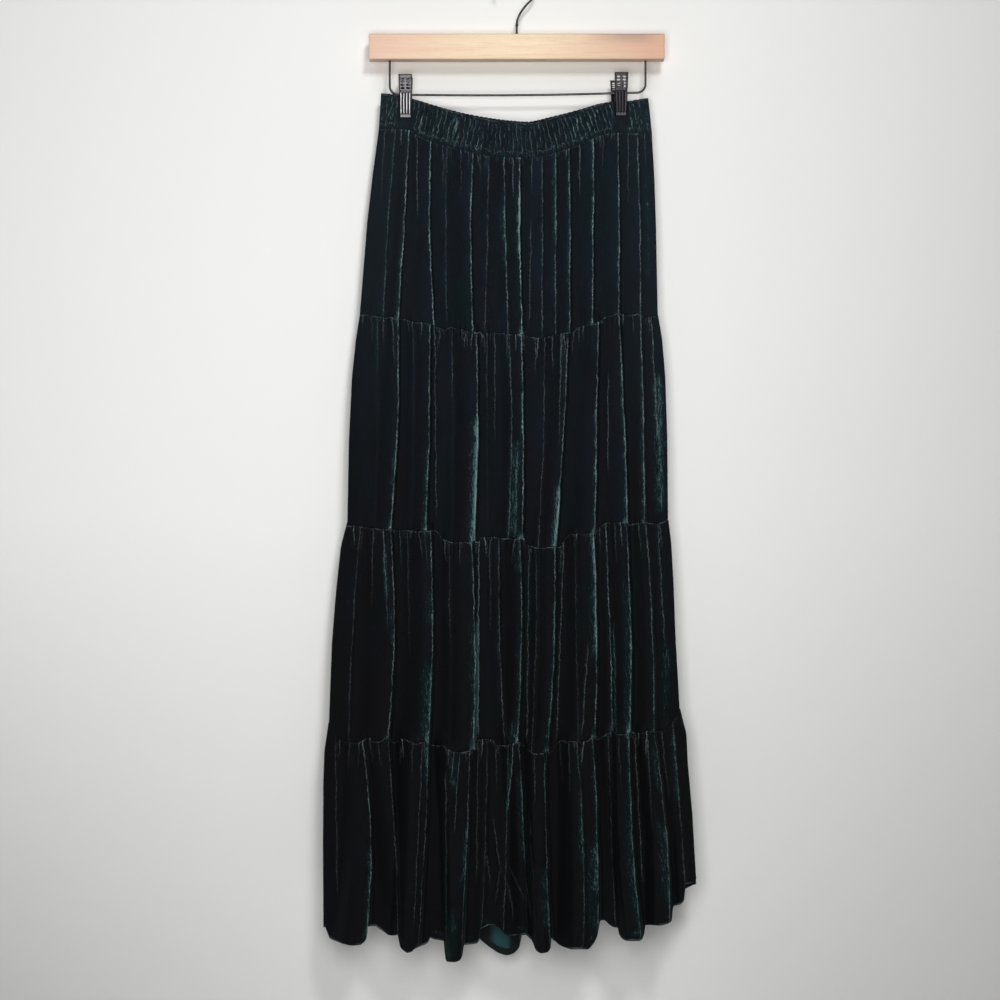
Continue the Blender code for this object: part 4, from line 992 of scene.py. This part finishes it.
    # swell paints light and shade on the ribs: lighter on the ridges, darker in the valleys.
    values = {"across": lines.across, "edge": lines.pale, "painted_sheen": painted_sheen, "swell": 0.4 + 0.4 * ridge + 0 * v}
    return placed(x, y, z, side), uv, values


def make_band(side, materials):
    make_cloth("waistband_" + side, band_surface(side), BAND, materials)


# ---------------------------------------------------------------- hanger
def tube(path, radii, sides):
    """A round wire along a path in the plane y = 0: at each station a ring of
    the station's radius, square to the path."""
    path = np.asarray(path, dtype=float)
    along = np.gradient(path, axis=0)
    along /= np.linalg.norm(along, axis=1)[:, None]
    across = np.stack([-along[:, 1], along[:, 0]], axis=1)
    turn = 2 * math.pi * np.arange(sides) / sides
    radii = np.broadcast_to(np.asarray(radii, dtype=float), (len(path),))
    c = radii[:, None] * np.cos(turn)[None, :]
    s = radii[:, None] * np.sin(turn)[None, :]
    x = path[:, 0, None] + across[:, 0, None] * c
    z = path[:, 1, None] + across[:, 1, None] * c
    return np.stack([x, s, z], axis=-1).reshape(-1, 3), tube_faces(len(path), sides)


def arc(cx, cz, radius, start, stop, count):
    turns = np.radians(np.linspace(start, stop, count))
    return np.stack([cx + radius * np.cos(turns), cz + radius * np.sin(turns)], axis=1)


def make_hard(name, shape, mat, slot, *nodes, merge=0.0, values=None):
    """A hard piece from its vertices and faces: points nearer than merge, in
    metres, are made one, and the normals are turned out."""
    ob = make_piece(name, *shape, [mat], attributes=values)
    bm = bmesh.new()
    bm.from_mesh(ob.data)
    if merge:
        bmesh.ops.remove_doubles(bm, verts=bm.verts, dist=merge)
    bmesh.ops.recalc_face_normals(bm, faces=bm.faces)
    bm.to_mesh(ob.data)
    bm.free()
    stands_for(ob, slot, *nodes)
    return ob


def make_hook(mat):
    """A stem, a bend out to the side, and a crook round the rail, with a small
    collar on the stem and a rounded tip."""
    centre = -(CROOK - WIRE)
    start, stop = -48, 205                       # degrees round the crook
    collar, flare = -69.5, -79.2                 # heights of the two on the stem
    turn = math.radians(start)
    stem_end = np.array([0.3, -67.0])
    crook_start = np.array([CROOK * math.cos(turn), centre + CROOK * math.sin(turn)])
    pull = 9.0                                   # how firmly the bend leaves both ends
    up = stem_end + np.array([0.4, pull])
    into = crook_start - pull * np.array([-math.sin(turn), math.cos(turn)])
    t = np.linspace(0, 1, 26)[1:-1, None]
    bend = ((1 - t) ** 3 * stem_end + 3 * (1 - t) ** 2 * t * up + 3 * (1 - t) * t * t * into
            + t ** 3 * crook_start)
    stem = np.linspace([0.0, -80.8], stem_end, 15)
    path = np.concatenate([stem, bend, arc(0.0, centre, CROOK, start, stop, 110)])
    height = path[:, 1]
    radii = np.full(len(path), WIRE)
    on_stem = np.arange(len(path)) < len(stem)
    swollen = 0.75 * bell(height - collar, 1.1) + 1.3 * smooth((flare - height) / 0.8)
    radii += np.where(on_stem, swollen, 0)
    left_over = np.arange(len(path))[::-1] / 4.0
    radii *= np.sqrt(np.clip(1 - (1 - np.clip(left_over, 0.02, 1)) ** 2, 0.0, 1.0))
    make_hard("hook", tube(path, radii, 24), mat, "wire", "hanger_hook")


def wire_sag(x):
    """How far the level wire lies above its plain height: it slopes up a little
    to the right and bows down in the middle under the skirt's weight."""
    share = (x - BAIL_LEFT) / (BAIL_RIGHT - BAIL_LEFT)
    return -1.9 + 2.6 * share - 2.0 * np.sin(math.pi * share)


def make_bail(mat):
    """Two legs under the bar, and the level wire between them, which bows
    down a little in the middle under the skirt's weight."""
    corner, straight, clear, top = 10.0, 8.0, 4.0, -111.2
    left_in, right_in = BAIL_LEFT + corner, BAIL_RIGHT - corner
    leg_foot = WIRE_Z + corner + straight
    path = np.concatenate([
        np.linspace([BAIL_LEFT, top], [BAIL_LEFT, leg_foot], 12),
        arc(left_in, WIRE_Z + corner, corner, 180, 270, 16),
        np.linspace([left_in + clear, WIRE_Z], [right_in - clear, WIRE_Z], 60),
        arc(right_in, WIRE_Z + corner, corner, 270, 360, 16),
        np.linspace([BAIL_RIGHT, leg_foot], [BAIL_RIGHT, top], 12),
    ])
    path[:, 1] += wire_sag(path[:, 0]) * smooth((top - path[:, 1]) / (top - WIRE_Z))
    make_hard("bail", tube(path, WIRE, 20), mat, "wire", "hanger_bail")


def make_bar(mat):
    """A wooden bar: a rounded rectangle carried along X, drawn in by a quarter
    round at both ends."""
    length, deep, tall, edge, middle = 354.0, 14.0, 31.0, 1.6, -96.5
    stations, ease = 40, 1.5
    corner = np.radians(np.linspace(0, 90, 9))
    y, z, turn = [], [], 0.0
    for side_y, side_z in ((1, 1), (-1, 1), (-1, -1), (1, -1)):
        y.append((deep / 2 - edge) * side_y + edge * np.cos(corner + turn))
        z.append((tall / 2 - edge) * side_z + edge * np.sin(corner + turn))
        turn += 0.5 * math.pi
    y, z = np.concatenate(y), np.concatenate(z)
    bend = np.radians(np.linspace(0, 90, 8))
    inset = ease * (1 - np.sin(bend))
    end = -length / 2 + ease * (1 - np.cos(bend))
    x = np.r_[end, np.linspace(end[-1], -end[-1], stations)[1:-1], -end[::-1]]
    drawn = np.r_[inset, np.zeros(stations - 2), inset[::-1]]
    scale_y = 1 - drawn / (deep / 2)
    scale_z = 1 - drawn / (tall / 2)
    verts = np.stack([
        np.broadcast_to(x[:, None], (len(x), len(y))),
        scale_y[:, None] * y[None, :],
        middle + scale_z[:, None] * z[None, :],
    ], axis=-1).reshape(-1, 3)
    make_hard("bar", (verts, tube_faces(len(x), len(y))), mat, "wood", "hanger_bar")


# ---------------------------------------------------------------- clips
# A jaw seen from the side: how far it stands forward, its height and its width
# at each bend, from the lip up to the end of the grip.
JAW_FORWARD, JAW_HEIGHT, JAW_WIDTH = np.array([
    (4.35, -30.6, 14.6),
    (4.9, -29.6, 14.8),
    (5.9, -24.0, 15.0),
    (5.9, -16.0, 15.0),
    (5.2, -6.0, 15.2),
    (5.4, 1.5, 15.4),
    (7.0, 6.5, 15.8),
    (8.6, 13.0, 16.2),
    (9.4, 20.6, 16.4),
]).T
JAW_WALL = 1.0
JAW_FLAT = 0.82                      # share of the half width that isn't turned in
RIBS_TOP, RIBS_FOOT = 1.0, -27.5
HOLE_ROWS, HOLE_TOP, HOLE_PITCH = 4, 15.4, 3.7
HOLE_SIZE = {                        # half the width and height of a hole
    ("left", "front"): (2.3, 1.25), ("left", "back"): (0.8, 0.5),
    ("right", "front"): (2.1, 1.2), ("right", "back"): (3.1, 1.6),
}
BACK_GRIP = {"left": 1.0, "right": 0.73}     # the back jaw's grip, as a share of the front's


def half_jaw(h):
    """Half the width of a jaw at a height."""
    return np.interp(h, JAW_HEIGHT, JAW_WIDTH) / 2


def rib_crests(a, h):
    """The four upright ribs on the part that bites: 1 on a crest, -1 between."""
    ribbed, per_half = 0.86, 2.17                # share of the half width, and waves on it
    shown = smooth((RIBS_TOP - h) / 4) * smooth((h - RIBS_FOOT) / 3)
    shown = shown * (1 - smooth((np.abs(a) - ribbed) / 0.1))
    return -np.cos(2 * math.pi * per_half * a) * shown


def on_jaw(a, h):
    """A point of the pressed strip at a share a of its half width and at a
    height h: smoothed bends, long edges turned in, and four upright ribs on
    the part that bites."""
    fine = np.linspace(JAW_HEIGHT[0], JAW_HEIGHT[-1], 240)
    forward = np.interp(fine, JAW_HEIGHT, JAW_FORWARD)
    kernel = np.hanning(25)
    kernel /= kernel.sum()
    forward = np.convolve(np.pad(forward, 12, mode="edge"), kernel, mode="valid")
    turned = 1.6 * np.clip((np.abs(a) - JAW_FLAT) / 0.18, 0, 1) ** 2
    pressed = 0.5 * bell(h - 19.2, 0.8)                  # a line along the grip's end
    forward = np.interp(h, fine, forward) + JAW_WALL / 2 - turned + 0.9 * rib_crests(a, h) + pressed
    return np.stack([a * half_jaw(h), -forward, h + 0 * a], axis=-1)


def jaw_mesh(hole_wide, hole_tall):
    """Two columns of four oval holes, each in a tile of its own: a ring of
    quads between the oval and the tile's edges.  Above and below them the
    strip is a plain grid, and the tiles' edges match it."""
    top, foot = JAW_HEIGHT[-1], JAW_HEIGHT[0]
    per_side = 6                                 # points along one edge of a tile
    n = 4 * per_side
    share = np.arange(n) / n
    # The tile's edge, round from its lower left corner, and the oval within.
    s = (share * 4) % 1.0
    which = (share * 4).astype(int)
    edge_x = np.choose(which, [2 * s - 1, np.ones_like(s), 1 - 2 * s, -np.ones_like(s)])
    edge_z = np.choose(which, [-np.ones_like(s), 2 * s - 1, np.ones_like(s), 1 - 2 * s])
    angle = 2 * math.pi * share - 0.75 * math.pi
    verts, faces, count = [], [], 0
    for side in (-1, 1):
        for row in range(HOLE_ROWS):
            mid_z = HOLE_TOP - HOLE_PITCH * row
            tile_x = 0.5 * JAW_FLAT * (side + edge_x)
            tile_z = mid_z + 0.5 * HOLE_PITCH * edge_z
            oval_x = 0.42 * side + hole_wide / half_jaw(mid_z) * np.cos(angle)
            oval_z = mid_z + hole_tall * np.sin(angle)
            rings = (0.0, 0.3, 0.65, 1.0)        # from the oval out to the tile's edge
            for out in rings:
                verts.append(on_jaw(oval_x * (1 - out) + tile_x * out, oval_z * (1 - out) + tile_z * out))
            faces.append(count + ring_quads(len(rings), n))
            count += len(rings) * n
    tile_heights = [HOLE_TOP - HOLE_PITCH * (row + k / per_side - 0.5)
                    for row in range(HOLE_ROWS) for k in range(per_side)]
    across = np.linspace(-JAW_FLAT, JAW_FLAT, 2 * per_side + 1)
    ribbed = np.linspace(-JAW_FLAT, JAW_FLAT, 2 * n + 1)
    turned = np.r_[JAW_FLAT, 0.88, 0.94, 0.98, 1.0]
    grip = np.linspace(top, HOLE_TOP + 0.5 * HOLE_PITCH, 6)
    neck = np.linspace(HOLE_TOP - (HOLE_ROWS - 0.5) * HOLE_PITCH, 2.0, 4)
    bite = np.linspace(2.0, foot, 44)
    whole = np.r_[grip[:-1], tile_heights, neck[:-1], bite]
    for heights, shares in ((grip, across), (neck, across), (bite, ribbed), (whole, turned),
                            (whole, -turned[::-1])):
        grid_a, grid_h = np.meshgrid(shares, heights)
        verts.append(on_jaw(grid_a.ravel(), grid_h.ravel()))
        faces.append(count + grid_quads(len(heights), len(shares)))
        count += grid_a.size
    return np.concatenate(verts), np.concatenate(faces)


def make_jaw(clip, side, mat):
    """One half of a clip.  The ribs' crests are marked for their painted highlight."""
    verts, faces = jaw_mesh(*HOLE_SIZE[clip, side])
    crest = rib_crests(verts[:, 0] / half_jaw(verts[:, 2]), verts[:, 2])
    place = CLIPS[clip]
    shift = np.array([place.middle, 0.0, WIRE_Z + place.raised])
    if side == "back":
        verts = verts * TO_BACK
        verts[:, 2] *= np.where(verts[:, 2] > 0, BACK_GRIP[clip], 1.0)
        shift[0] += place.back_shift
    node = "clip_%s_%s" % (clip, side)
    ob = make_hard(node + "_jaw", (verts + shift, faces), mat, "clip_metal", node, merge=0.00004,
                   values={"crest": np.clip(crest, 0, 1)})
    thicken(ob, JAW_WALL)


def make_spring(clip, mat):
    """The coil spring round the wire between a clip's jaws: a round wire wound
    on a helix along X."""
    turns, length, radius, thick, sides = 6.5, 9.0, 3.0, 0.5, 8
    t = np.linspace(0, 1, 220)
    angle = 2 * math.pi * turns * t
    outwards = np.stack([np.zeros_like(t), np.cos(angle), np.sin(angle)], axis=1)
    path = radius * outwards
    path[:, 0] = CLIPS[clip].middle + length * (t - 0.5)
    path[:, 2] += WIRE_Z + wire_sag(path[:, 0])
    along = np.gradient(path, axis=0)
    along /= np.linalg.norm(along, axis=1)[:, None]
    side = np.cross(along, outwards)
    turn = (2 * math.pi * np.arange(sides) / sides)[None, :, None]
    ring = outwards[:, None, :] * np.cos(turn) + side[:, None, :] * np.sin(turn)
    verts = path[:, None, :] + thick * ring
    shape = verts.reshape(-1, 3), tube_faces(len(t), sides)
    make_hard("clip_%s_spring" % clip, shape, mat, "clip_metal")


# ---------------------------------------------------------------- materials
class Paint:
    """A material and the steps that its colours are worked out in.  Each input
    is a socket or a constant."""

    def __init__(self, name):
        self.mat = bpy.data.materials.new(name)
        self.mat.use_nodes = True
        self.tree = self.mat.node_tree
        self.shader = self.tree.nodes["Principled BSDF"]
        self.place = self.node("ShaderNodeTexCoord").outputs["Object"]

    def feed(self, socket, value):
        """Links a socket to another, or sets it to a constant."""
        if isinstance(value, bpy.types.NodeSocket):
            self.tree.links.new(value, socket)
        elif socket.type == "RGBA":
            socket.default_value = (*value, 1.0)
        else:
            socket.default_value = value

    def node(self, kind, inputs=None, **settings):
        """A node with its own settings, and its inputs by name or number."""
        node = self.tree.nodes.new(kind)
        for key, value in settings.items():
            setattr(node, key, value)
        for key, value in (inputs or {}).items():
            self.feed(node.inputs[key], value)
        return node

    def value(self, name):
        """One of the values that the mesh carries."""
        return self.node("ShaderNodeAttribute", attribute_name=name).outputs["Fac"]

    def axes(self):
        """x, y and z of the place, in metres."""
        return self.node("ShaderNodeSeparateXYZ", {0: self.place}).outputs

    def mix(self, factor, first, second):
        """A mix of two colours."""
        inputs = {0: factor, 6: first, 7: second}
        return self.node("ShaderNodeMix", inputs, data_type="RGBA", clamp_factor=True).outputs[2]

    def maths(self, operation, *values, clamp=False):
        inputs = dict(enumerate(values))
        return self.node("ShaderNodeMath", inputs, operation=operation, use_clamp=clamp).outputs[0]

    def times(self, first, second, clamp=False):
        return self.maths("MULTIPLY", first, second, clamp=clamp)

    def ranged(self, value, low, high, to_low=0.0, to_high=1.0):
        """Carries a value's span from low to high onto another span, clamped."""
        inputs = {"Value": value, "From Min": low, "From Max": high, "To Min": to_low, "To Max": to_high}
        return self.node("ShaderNodeMapRange", inputs, clamp=True).outputs["Result"]

    def layered(self, colour, *layers):
        """Colours laid over a first one, in rows: the value that brings a layer
        in, the spans that it is carried from and to, and the layer's colour."""
        for value, spans, tone in layers:
            colour = self.mix(self.ranged(value, *spans), colour, tone)
        return colour

    def noise(self, vector, scale, detail, rough=0.5):
        """Noise at a scale, which is one number or one for each axis."""
        if isinstance(scale, tuple):
            vector = self.node("ShaderNodeMapping", {"Vector": vector, "Scale": scale}).outputs["Vector"]
            scale = 1.0
        inputs = {"Vector": vector, "Scale": scale, "Detail": detail, "Roughness": rough}
        return self.node("ShaderNodeTexNoise", inputs).outputs["Fac"]

    def finish(self, values, relief=None, strength=0.0, distance=0.0):
        """The shader's own inputs, and the relief that it is bumped by."""
        for key, value in values.items():
            self.feed(self.shader.inputs[key], value)
        if relief:
            inputs = {"Height": relief, "Strength": strength, "Distance": distance}
            self.feed(self.shader.inputs["Normal"], self.node("ShaderNodeBump", inputs).outputs["Normal"])
        return self.mat


def velvet_material():
    """Pile velvet: nearly black where it is looked at square on, in clouds of
    slate, brown and green, painted lit up each fold and darker towards the hem;
    deep teal with pale flecks where painted sheen lies, more of them the more of it
    there is; and thin broken pale lines along the edges, painted highlights, each
    with a black strip of painted shade to its right."""
    paint = Paint("velvet")
    mix, times, ranged, maths = paint.mix, paint.times, paint.ranged, paint.maths
    cloth = paint.node("ShaderNodeUVMap", uv_map="cloth").outputs["UV"]
    across, edge, painted_sheen, swell = [paint.value(name) for name in ("across", "edge", "painted_sheen", "swell")]
    streaks = paint.noise(cloth, (600.0, 74.0, 1.0), 3.0, 0.6)
    grain = paint.noise(cloth, (840.0, 300.0, 1.0), 3.0, 0.65)
    breaks = paint.noise(cloth, (60.0, 120.0, 1.0), 3.0, 0.6)
    clouds = paint.noise(cloth, (38.0, 11.0, 1.0), 3.0, 0.55)
    patches = paint.noise(cloth, (17.0, 8.0, 1.0), 2.0, 0.5)
    x, _, z = paint.axes()

    # Each tone of the pile is a mix: at the hem, and by the waist; the tones are painted darker towards the
    # hem, as shade where the light falls off.
    upper = maths("POWER", ranged(z, -0.95, -0.22), 1.4)
    dark = mix(upper, (0.0046, 0.0045, 0.0054), (0.0056, 0.0072, 0.0096))
    lit = mix(upper, (0.0047, 0.0052, 0.0067), (0.0066, 0.0114, 0.0182))
    pile = mix(upper, (0.0059, 0.0067, 0.0083), (0.0108, 0.0152, 0.0192))
    green = mix(upper, (0.0036, 0.0054, 0.0056), (0.0046, 0.0106, 0.0108))
    brown = mix(upper, (0.0054, 0.0046, 0.0050), (0.0086, 0.0080, 0.0086))
    # Painted light: the pile goes from dark to lit up each fold towards its edge, and on the band's ridges.
    toned = times(swell, ranged(clouds, 0.36, 0.62, 0.15, 1.4), clamp=True)
    base = paint.layered(
        mix(toned, dark, lit),
        (patches, (0.50, 0.66, 0.0, 0.7), green),
        (patches, (0.44, 0.32, 0.0, 0.6), brown),
        (streaks, (0.50, 0.72, 0.0, 0.5), pile),
        (grain, (0.52, 0.72, 0.0, 0.6), pile),
    )
    # Painted sheen towards the sides of the upper tiers, where the cloth turns away.
    sides = ranged(maths("ABSOLUTE", x), 0.105, 0.165, 0.0, 0.6)
    base = mix(times(sides, ranged(z, -0.62, -0.42)), base, pile)
    # Painted shade: a black strip just to the right of each pale line, where the fold drops away.
    beside = maths("ABSOLUTE", maths("SUBTRACT", across, 1.5))
    strip = times(ranged(beside, 1.2, 0.4), ranged(edge, 0.1, 0.5, 0.0, 0.8))
    base = mix(strip, base, (0.0016, 0.0048, 0.0056))

    # Painted sheen: a soft teal, and the more flecks on it the more sheen there is.
    soft = times(ranged(painted_sheen, 0.10, 0.90), ranged(streaks, 0.36, 0.62, 0.2, 1.0), clamp=True)
    teal = mix(soft, base, (0.0066, 0.0295, 0.0325))
    sheen_spots = maths("ADD", times(grain, 1.9), times(streaks, 1.9))
    sheen_spots = maths("ADD", sheen_spots, times(painted_sheen, 1.25))
    flecks = times(ranged(sheen_spots, 2.42, 2.84), ranged(painted_sheen, 0.02, 0.22))
    crest = mix(ranged(painted_sheen, 0.40, 1.0), (0.034, 0.072, 0.074), (0.120, 0.186, 0.190))
    laced = mix(flecks, teal, crest)

    # The pale lines, painted highlights, which wander and break.
    shift = times(maths("SUBTRACT", breaks, 0.5), 3.4)
    away = maths("ABSOLUTE", maths("ADD", across, shift))
    broken = times(edge, ranged(grain, 0.39, 0.61, 0.10, 1.4))
    painted_highlight = times(ranged(away, 0.95, 0.25), broken, clamp=True)
    values = {
        "Base Color": mix(painted_highlight, laced, (0.206, 0.262, 0.268)),
        "Roughness": 0.88,
        "Specular IOR Level": 0.03,
        "Sheen Weight": 0.02,
        "Sheen Roughness": 0.30,
        "Sheen Tint": (0.40, 0.62, 0.62),
    }
    return paint.finish(values, maths("ADD", times(streaks, 0.6), times(grain, 0.4)), 0.35, 0.0006)


def satin_material():
    """The smooth inside of the velvet: deep teal with a faint twill, darker in its
    lowest 7 to 9 mm, and with painted shade where the back's hem is lapped up
    behind the front's."""
    paint = Paint("velvet_inside")
    mix, times, ranged = paint.mix, paint.times, paint.ranged
    clouds = paint.noise(paint.place, (14.0, 14.0, 5.0), 3.0)
    weave = paint.noise(paint.place, (900.0, 900.0, 500.0), 2.0)
    hem = paint.value("hem")
    x = paint.axes()[0]
    colour = mix(ranged(clouds, 0.3, 0.7), (0.007, 0.030, 0.034), (0.020, 0.078, 0.086))
    # Painted shade beside the lobe where the back's hem is lapped up behind the front's.
    lobe = times(ranged(x, -0.034, -0.025), ranged(x, -0.0060, -0.0115))
    around = times(ranged(x, -0.080, -0.062), ranged(x, 0.030, 0.012))
    painted_lap_shade = times(times(around, ranged(hem, 70.0, 45.0)), ranged(lobe, 1.0, 0.0))
    colour = mix(painted_lap_shade, colour, (0.0040, 0.0070, 0.0080))
    colour = mix(ranged(hem, 8.8, 6.8), colour, (0.0045, 0.0070, 0.0078))
    values = {"Base Color": colour, "Roughness": 0.6, "Specular IOR Level": 0.12}
    return paint.finish(values, weave, 0.15, 0.0003)


def wood_material():
    """Pale beech: long grain along the bar, short dark flecks, pinker to the
    left and redder to the right, with a grey patch along the upper edge there
    and painted shade on the underside."""
    paint = Paint("wood")
    mix, times, ranged = paint.mix, paint.times, paint.ranged
    grain = paint.noise(paint.place, (6.0, 60.0, 130.0), 5.0, 0.6)
    lines = paint.noise(paint.place, (34.0, 200.0, 640.0), 3.0, 0.5)
    flecks = paint.noise(paint.place, (120.0, 700.0, 1500.0), 2.0, 0.5)
    x, _, z = paint.axes()
    base = paint.layered(
        mix(ranged(grain, 0.35, 0.68), (0.845, 0.685, 0.49), (0.79, 0.59, 0.395)),
        (lines, (0.46, 0.70, 0.0, 0.50), (0.70, 0.475, 0.295)),
        (flecks, (0.56, 0.76, 0.0, 0.5), (0.62, 0.41, 0.26)),
        (x, (0.02, 0.16, 0.0, 0.85), (0.58, 0.315, 0.215)),
        (x, (-0.05, -0.17, 0.0, 0.75), (0.73, 0.465, 0.36)),
    )
    # A grey patch along the upper edge towards the right end.
    greyed = times(ranged(x, 0.075, 0.130), ranged(x, 0.176, 0.150))
    greyed = times(greyed, ranged(z, -0.097, -0.083))
    base = mix(times(greyed, 0.75), base, (0.36, 0.225, 0.185))
    # Painted shade along the lower edge and underside.
    base = mix(ranged(z, -0.1100, -0.1116, 0.0, 0.55), base, (0.24, 0.19, 0.145))
    values = {"Base Color": base, "Roughness": 0.48, "Specular IOR Level": 0.35}
    return paint.finish(values, lines, 0.12, 0.0003)


def metal_material(name, dark, light, roughness, scale, painted_crest_highlight=None):
    """Plated metal with fine wear: a darker and a lighter tone in a small
    mottle, which also makes it rougher in places.  The crests of the ribs are
    given a tone of their own, a painted highlight."""
    paint = Paint(name)
    mottle = paint.noise(paint.place, scale, 4.0, 0.6)
    colour = paint.mix(paint.ranged(mottle, 0.35, 0.7), dark, light)
    if painted_crest_highlight:
        colour = paint.mix(paint.ranged(paint.value("crest"), 0.2, 0.7), colour, painted_crest_highlight)
    rough = paint.ranged(mottle, 0.3, 0.7, roughness - 0.06, roughness + 0.1)
    return paint.finish({"Base Color": colour, "Roughness": rough, "Metallic": 1.0}, mottle, 0.08, 0.0002)


# ---------------------------------------------------------------- stage
FLOOR_Z = -1900.0
STAGE_HALF = 2600.0            # half the width of the wall and the floor


def make_wall():
    """A pale wall close behind, seen and lit from the front alone: from behind
    it is clear, so that the back of the skirt shows too.  It leans as the skirt
    does, nearer to it at the hanger than at the hem."""
    half, low, high = STAGE_HALF, FLOOR_Z, 2400.0
    near, lean = 20.0, 0.047
    y_low, y_high = near - lean * low, near - lean * high
    verts = [(-half, y_high, high), (half, y_high, high), (half, y_low, low), (-half, y_low, low)]
    paint = Paint("wall_paint")
    mix, times, ranged = paint.mix, paint.times, paint.ranged
    roller = paint.noise(paint.place, 60.0, 4.0, 0.6)
    patches = paint.noise(paint.place, 1.6, 2.0)
    x, _, z = paint.axes()
    aside = paint.maths("ABSOLUTE", x)
    # Painted light: the paint is lighter to the left and darker to the right, where the light falls off.
    colour = paint.layered(
        mix(ranged(patches, 0.35, 0.7), (0.85, 0.85, 0.835), (0.82, 0.82, 0.81)),
        (x, (0.0, 0.7, 0.0, 0.8), (0.62, 0.62, 0.61)),
        (x, (-0.1, -0.6, 0.0, 0.8), (0.87, 0.87, 0.86)),
    )
    # Painted shade low down, more towards the sides.
    foot = times(ranged(z, -0.65, -1.30), ranged(aside, 0.1, 0.7, 0.25, 1.0))
    colour = mix(foot, colour, (0.56, 0.56, 0.55))
    # The soft shade under the bar.
    shade = times(ranged(z, -0.152, -0.112), ranged(z, -0.095, -0.106))
    shade = times(shade, ranged(aside, 0.180, 0.165, 0.0, 0.9))
    colour = mix(shade, colour, (0.60, 0.60, 0.59))
    mat = paint.finish({"Base Color": colour, "Roughness": 0.7}, roller, 0.10, 0.001)
    facing = paint.node("ShaderNodeNewGeometry").outputs["Backfacing"]
    clear = paint.node("ShaderNodeBsdfTransparent").outputs[0]
    choose = paint.node("ShaderNodeMixShader", {0: facing, 1: paint.shader.outputs[0], 2: clear})
    paint.feed(paint.tree.nodes["Material Output"].inputs["Surface"], choose.outputs[0])
    ob = make_piece("wall", verts, [(0, 3, 2, 1)], [mat])
    ob.visible_shadow = False
    ob.visible_diffuse = False


def make_floor():
    """A plain pale floor well under the hem."""
    z, half = FLOOR_Z, STAGE_HALF
    verts = [(-half, -half, z), (half, -half, z), (half, half, z), (-half, half, z)]
    paint = Paint("floor_paint")
    patches = paint.noise(paint.place, 1.2, 3.0)
    colour = paint.mix(paint.ranged(patches, 0.35, 0.7), (0.80, 0.80, 0.79), (0.76, 0.76, 0.75))
    mat = paint.finish({"Base Color": colour, "Roughness": 0.6})
    make_piece("floor", verts, [(0, 1, 2, 3)], [mat])


def add_light(name, place, target, size, power, colour):
    """A square soft light that faces a point."""
    data = bpy.data.lights.new(name, "AREA")
    data.shape = "SQUARE"
    data.size = size
    data.energy = power
    data.color = colour
    ob = bpy.data.objects.new(name, data)
    ob.location = place
    ob.rotation_euler = (Vector(target) - Vector(place)).to_track_quat("-Z", "Y").to_euler()
    bpy.context.scene.collection.objects.link(ob)


def make_lights():
    add_light("window", (-0.10, -1.6, -0.58), (-0.10, 0, -0.58), 0.6, 17.2, (1.0, 0.997, 0.99))
    add_light("lamp_above", (0.30, -1.7, 0.46), (0, 0, -0.3), 0.3, 15.0, (1.0, 0.998, 0.99))
    add_light("behind", (0.5, 2.0, 0.2), (0, 0, -0.6), 0.9, 38, (1.0, 1.0, 1.0))
    add_light("side_left", (-1.9, 0.9, -0.2), (0, 0, -0.6), 0.9, 16, (1.0, 1.0, 1.0))
    add_light("side_right", (2.1, 0.5, -0.2), (0, 0, -0.6), 0.9, 12, (1.0, 1.0, 1.0))
    world = bpy.data.worlds.new("room")
    world.use_nodes = True
    background = world.node_tree.nodes["Background"]
    background.inputs[0].default_value = (0.93, 0.95, 0.97, 1.0)
    background.inputs[1].default_value = 0.09
    bpy.context.scene.world = world


def make_camera():
    data = bpy.data.cameras.new("camera")
    data.sensor_width = 36.0
    frame_width = 1200.0           # the photograph's width at the skirt
    data.lens = data.sensor_width * VIEW / frame_width
    data.clip_start = 0.05
    data.clip_end = 50.0
    ob = bpy.data.objects.new("camera", data)
    ob.location = (VIEW_X * MM, -VIEW * MM, VIEW_Z * MM)
    ob.rotation_euler = (0.5 * math.pi, 0.0, 0.0)
    bpy.context.scene.collection.objects.link(ob)
    bpy.context.scene.camera = ob
    bpy.context.scene.view_settings.view_transform = "Standard"


# ---------------------------------------------------------------- the scene
make_camera()
velvet = velvet_material()
satin = satin_material()
wood = wood_material()
wire_metal = metal_material("wire_metal", (0.035, 0.033, 0.035), (0.085, 0.080, 0.085), 0.38, 300.0)
# The last colour of each clip's metal is the painted highlight on its ribs' crests: pale on the left clip,
# faint on the right.
clip_metal = {
    "left": metal_material("left_clip_metal", (0.045, 0.042, 0.046), (0.10, 0.097, 0.10), 0.36, 420.0,
                           (0.95, 0.94, 0.95)),
    "right": metal_material("right_clip_metal", (0.022, 0.021, 0.024), (0.050, 0.048, 0.053), 0.40, 420.0,
                            (0.14, 0.13, 0.145)),
}
for side in ("front", "back"):
    make_band(side, [velvet, velvet])
    for tier in (1, 2, 3, 4):
        make_tier(tier, side, [velvet, satin])
make_bar(wood)
make_hook(wire_metal)
make_bail(wire_metal)
for clip in CLIPS:
    for side in ("front", "back"):
        make_jaw(clip, side, clip_metal[clip])
    make_spring(clip, wire_metal)
make_wall()
make_floor()
make_lights()
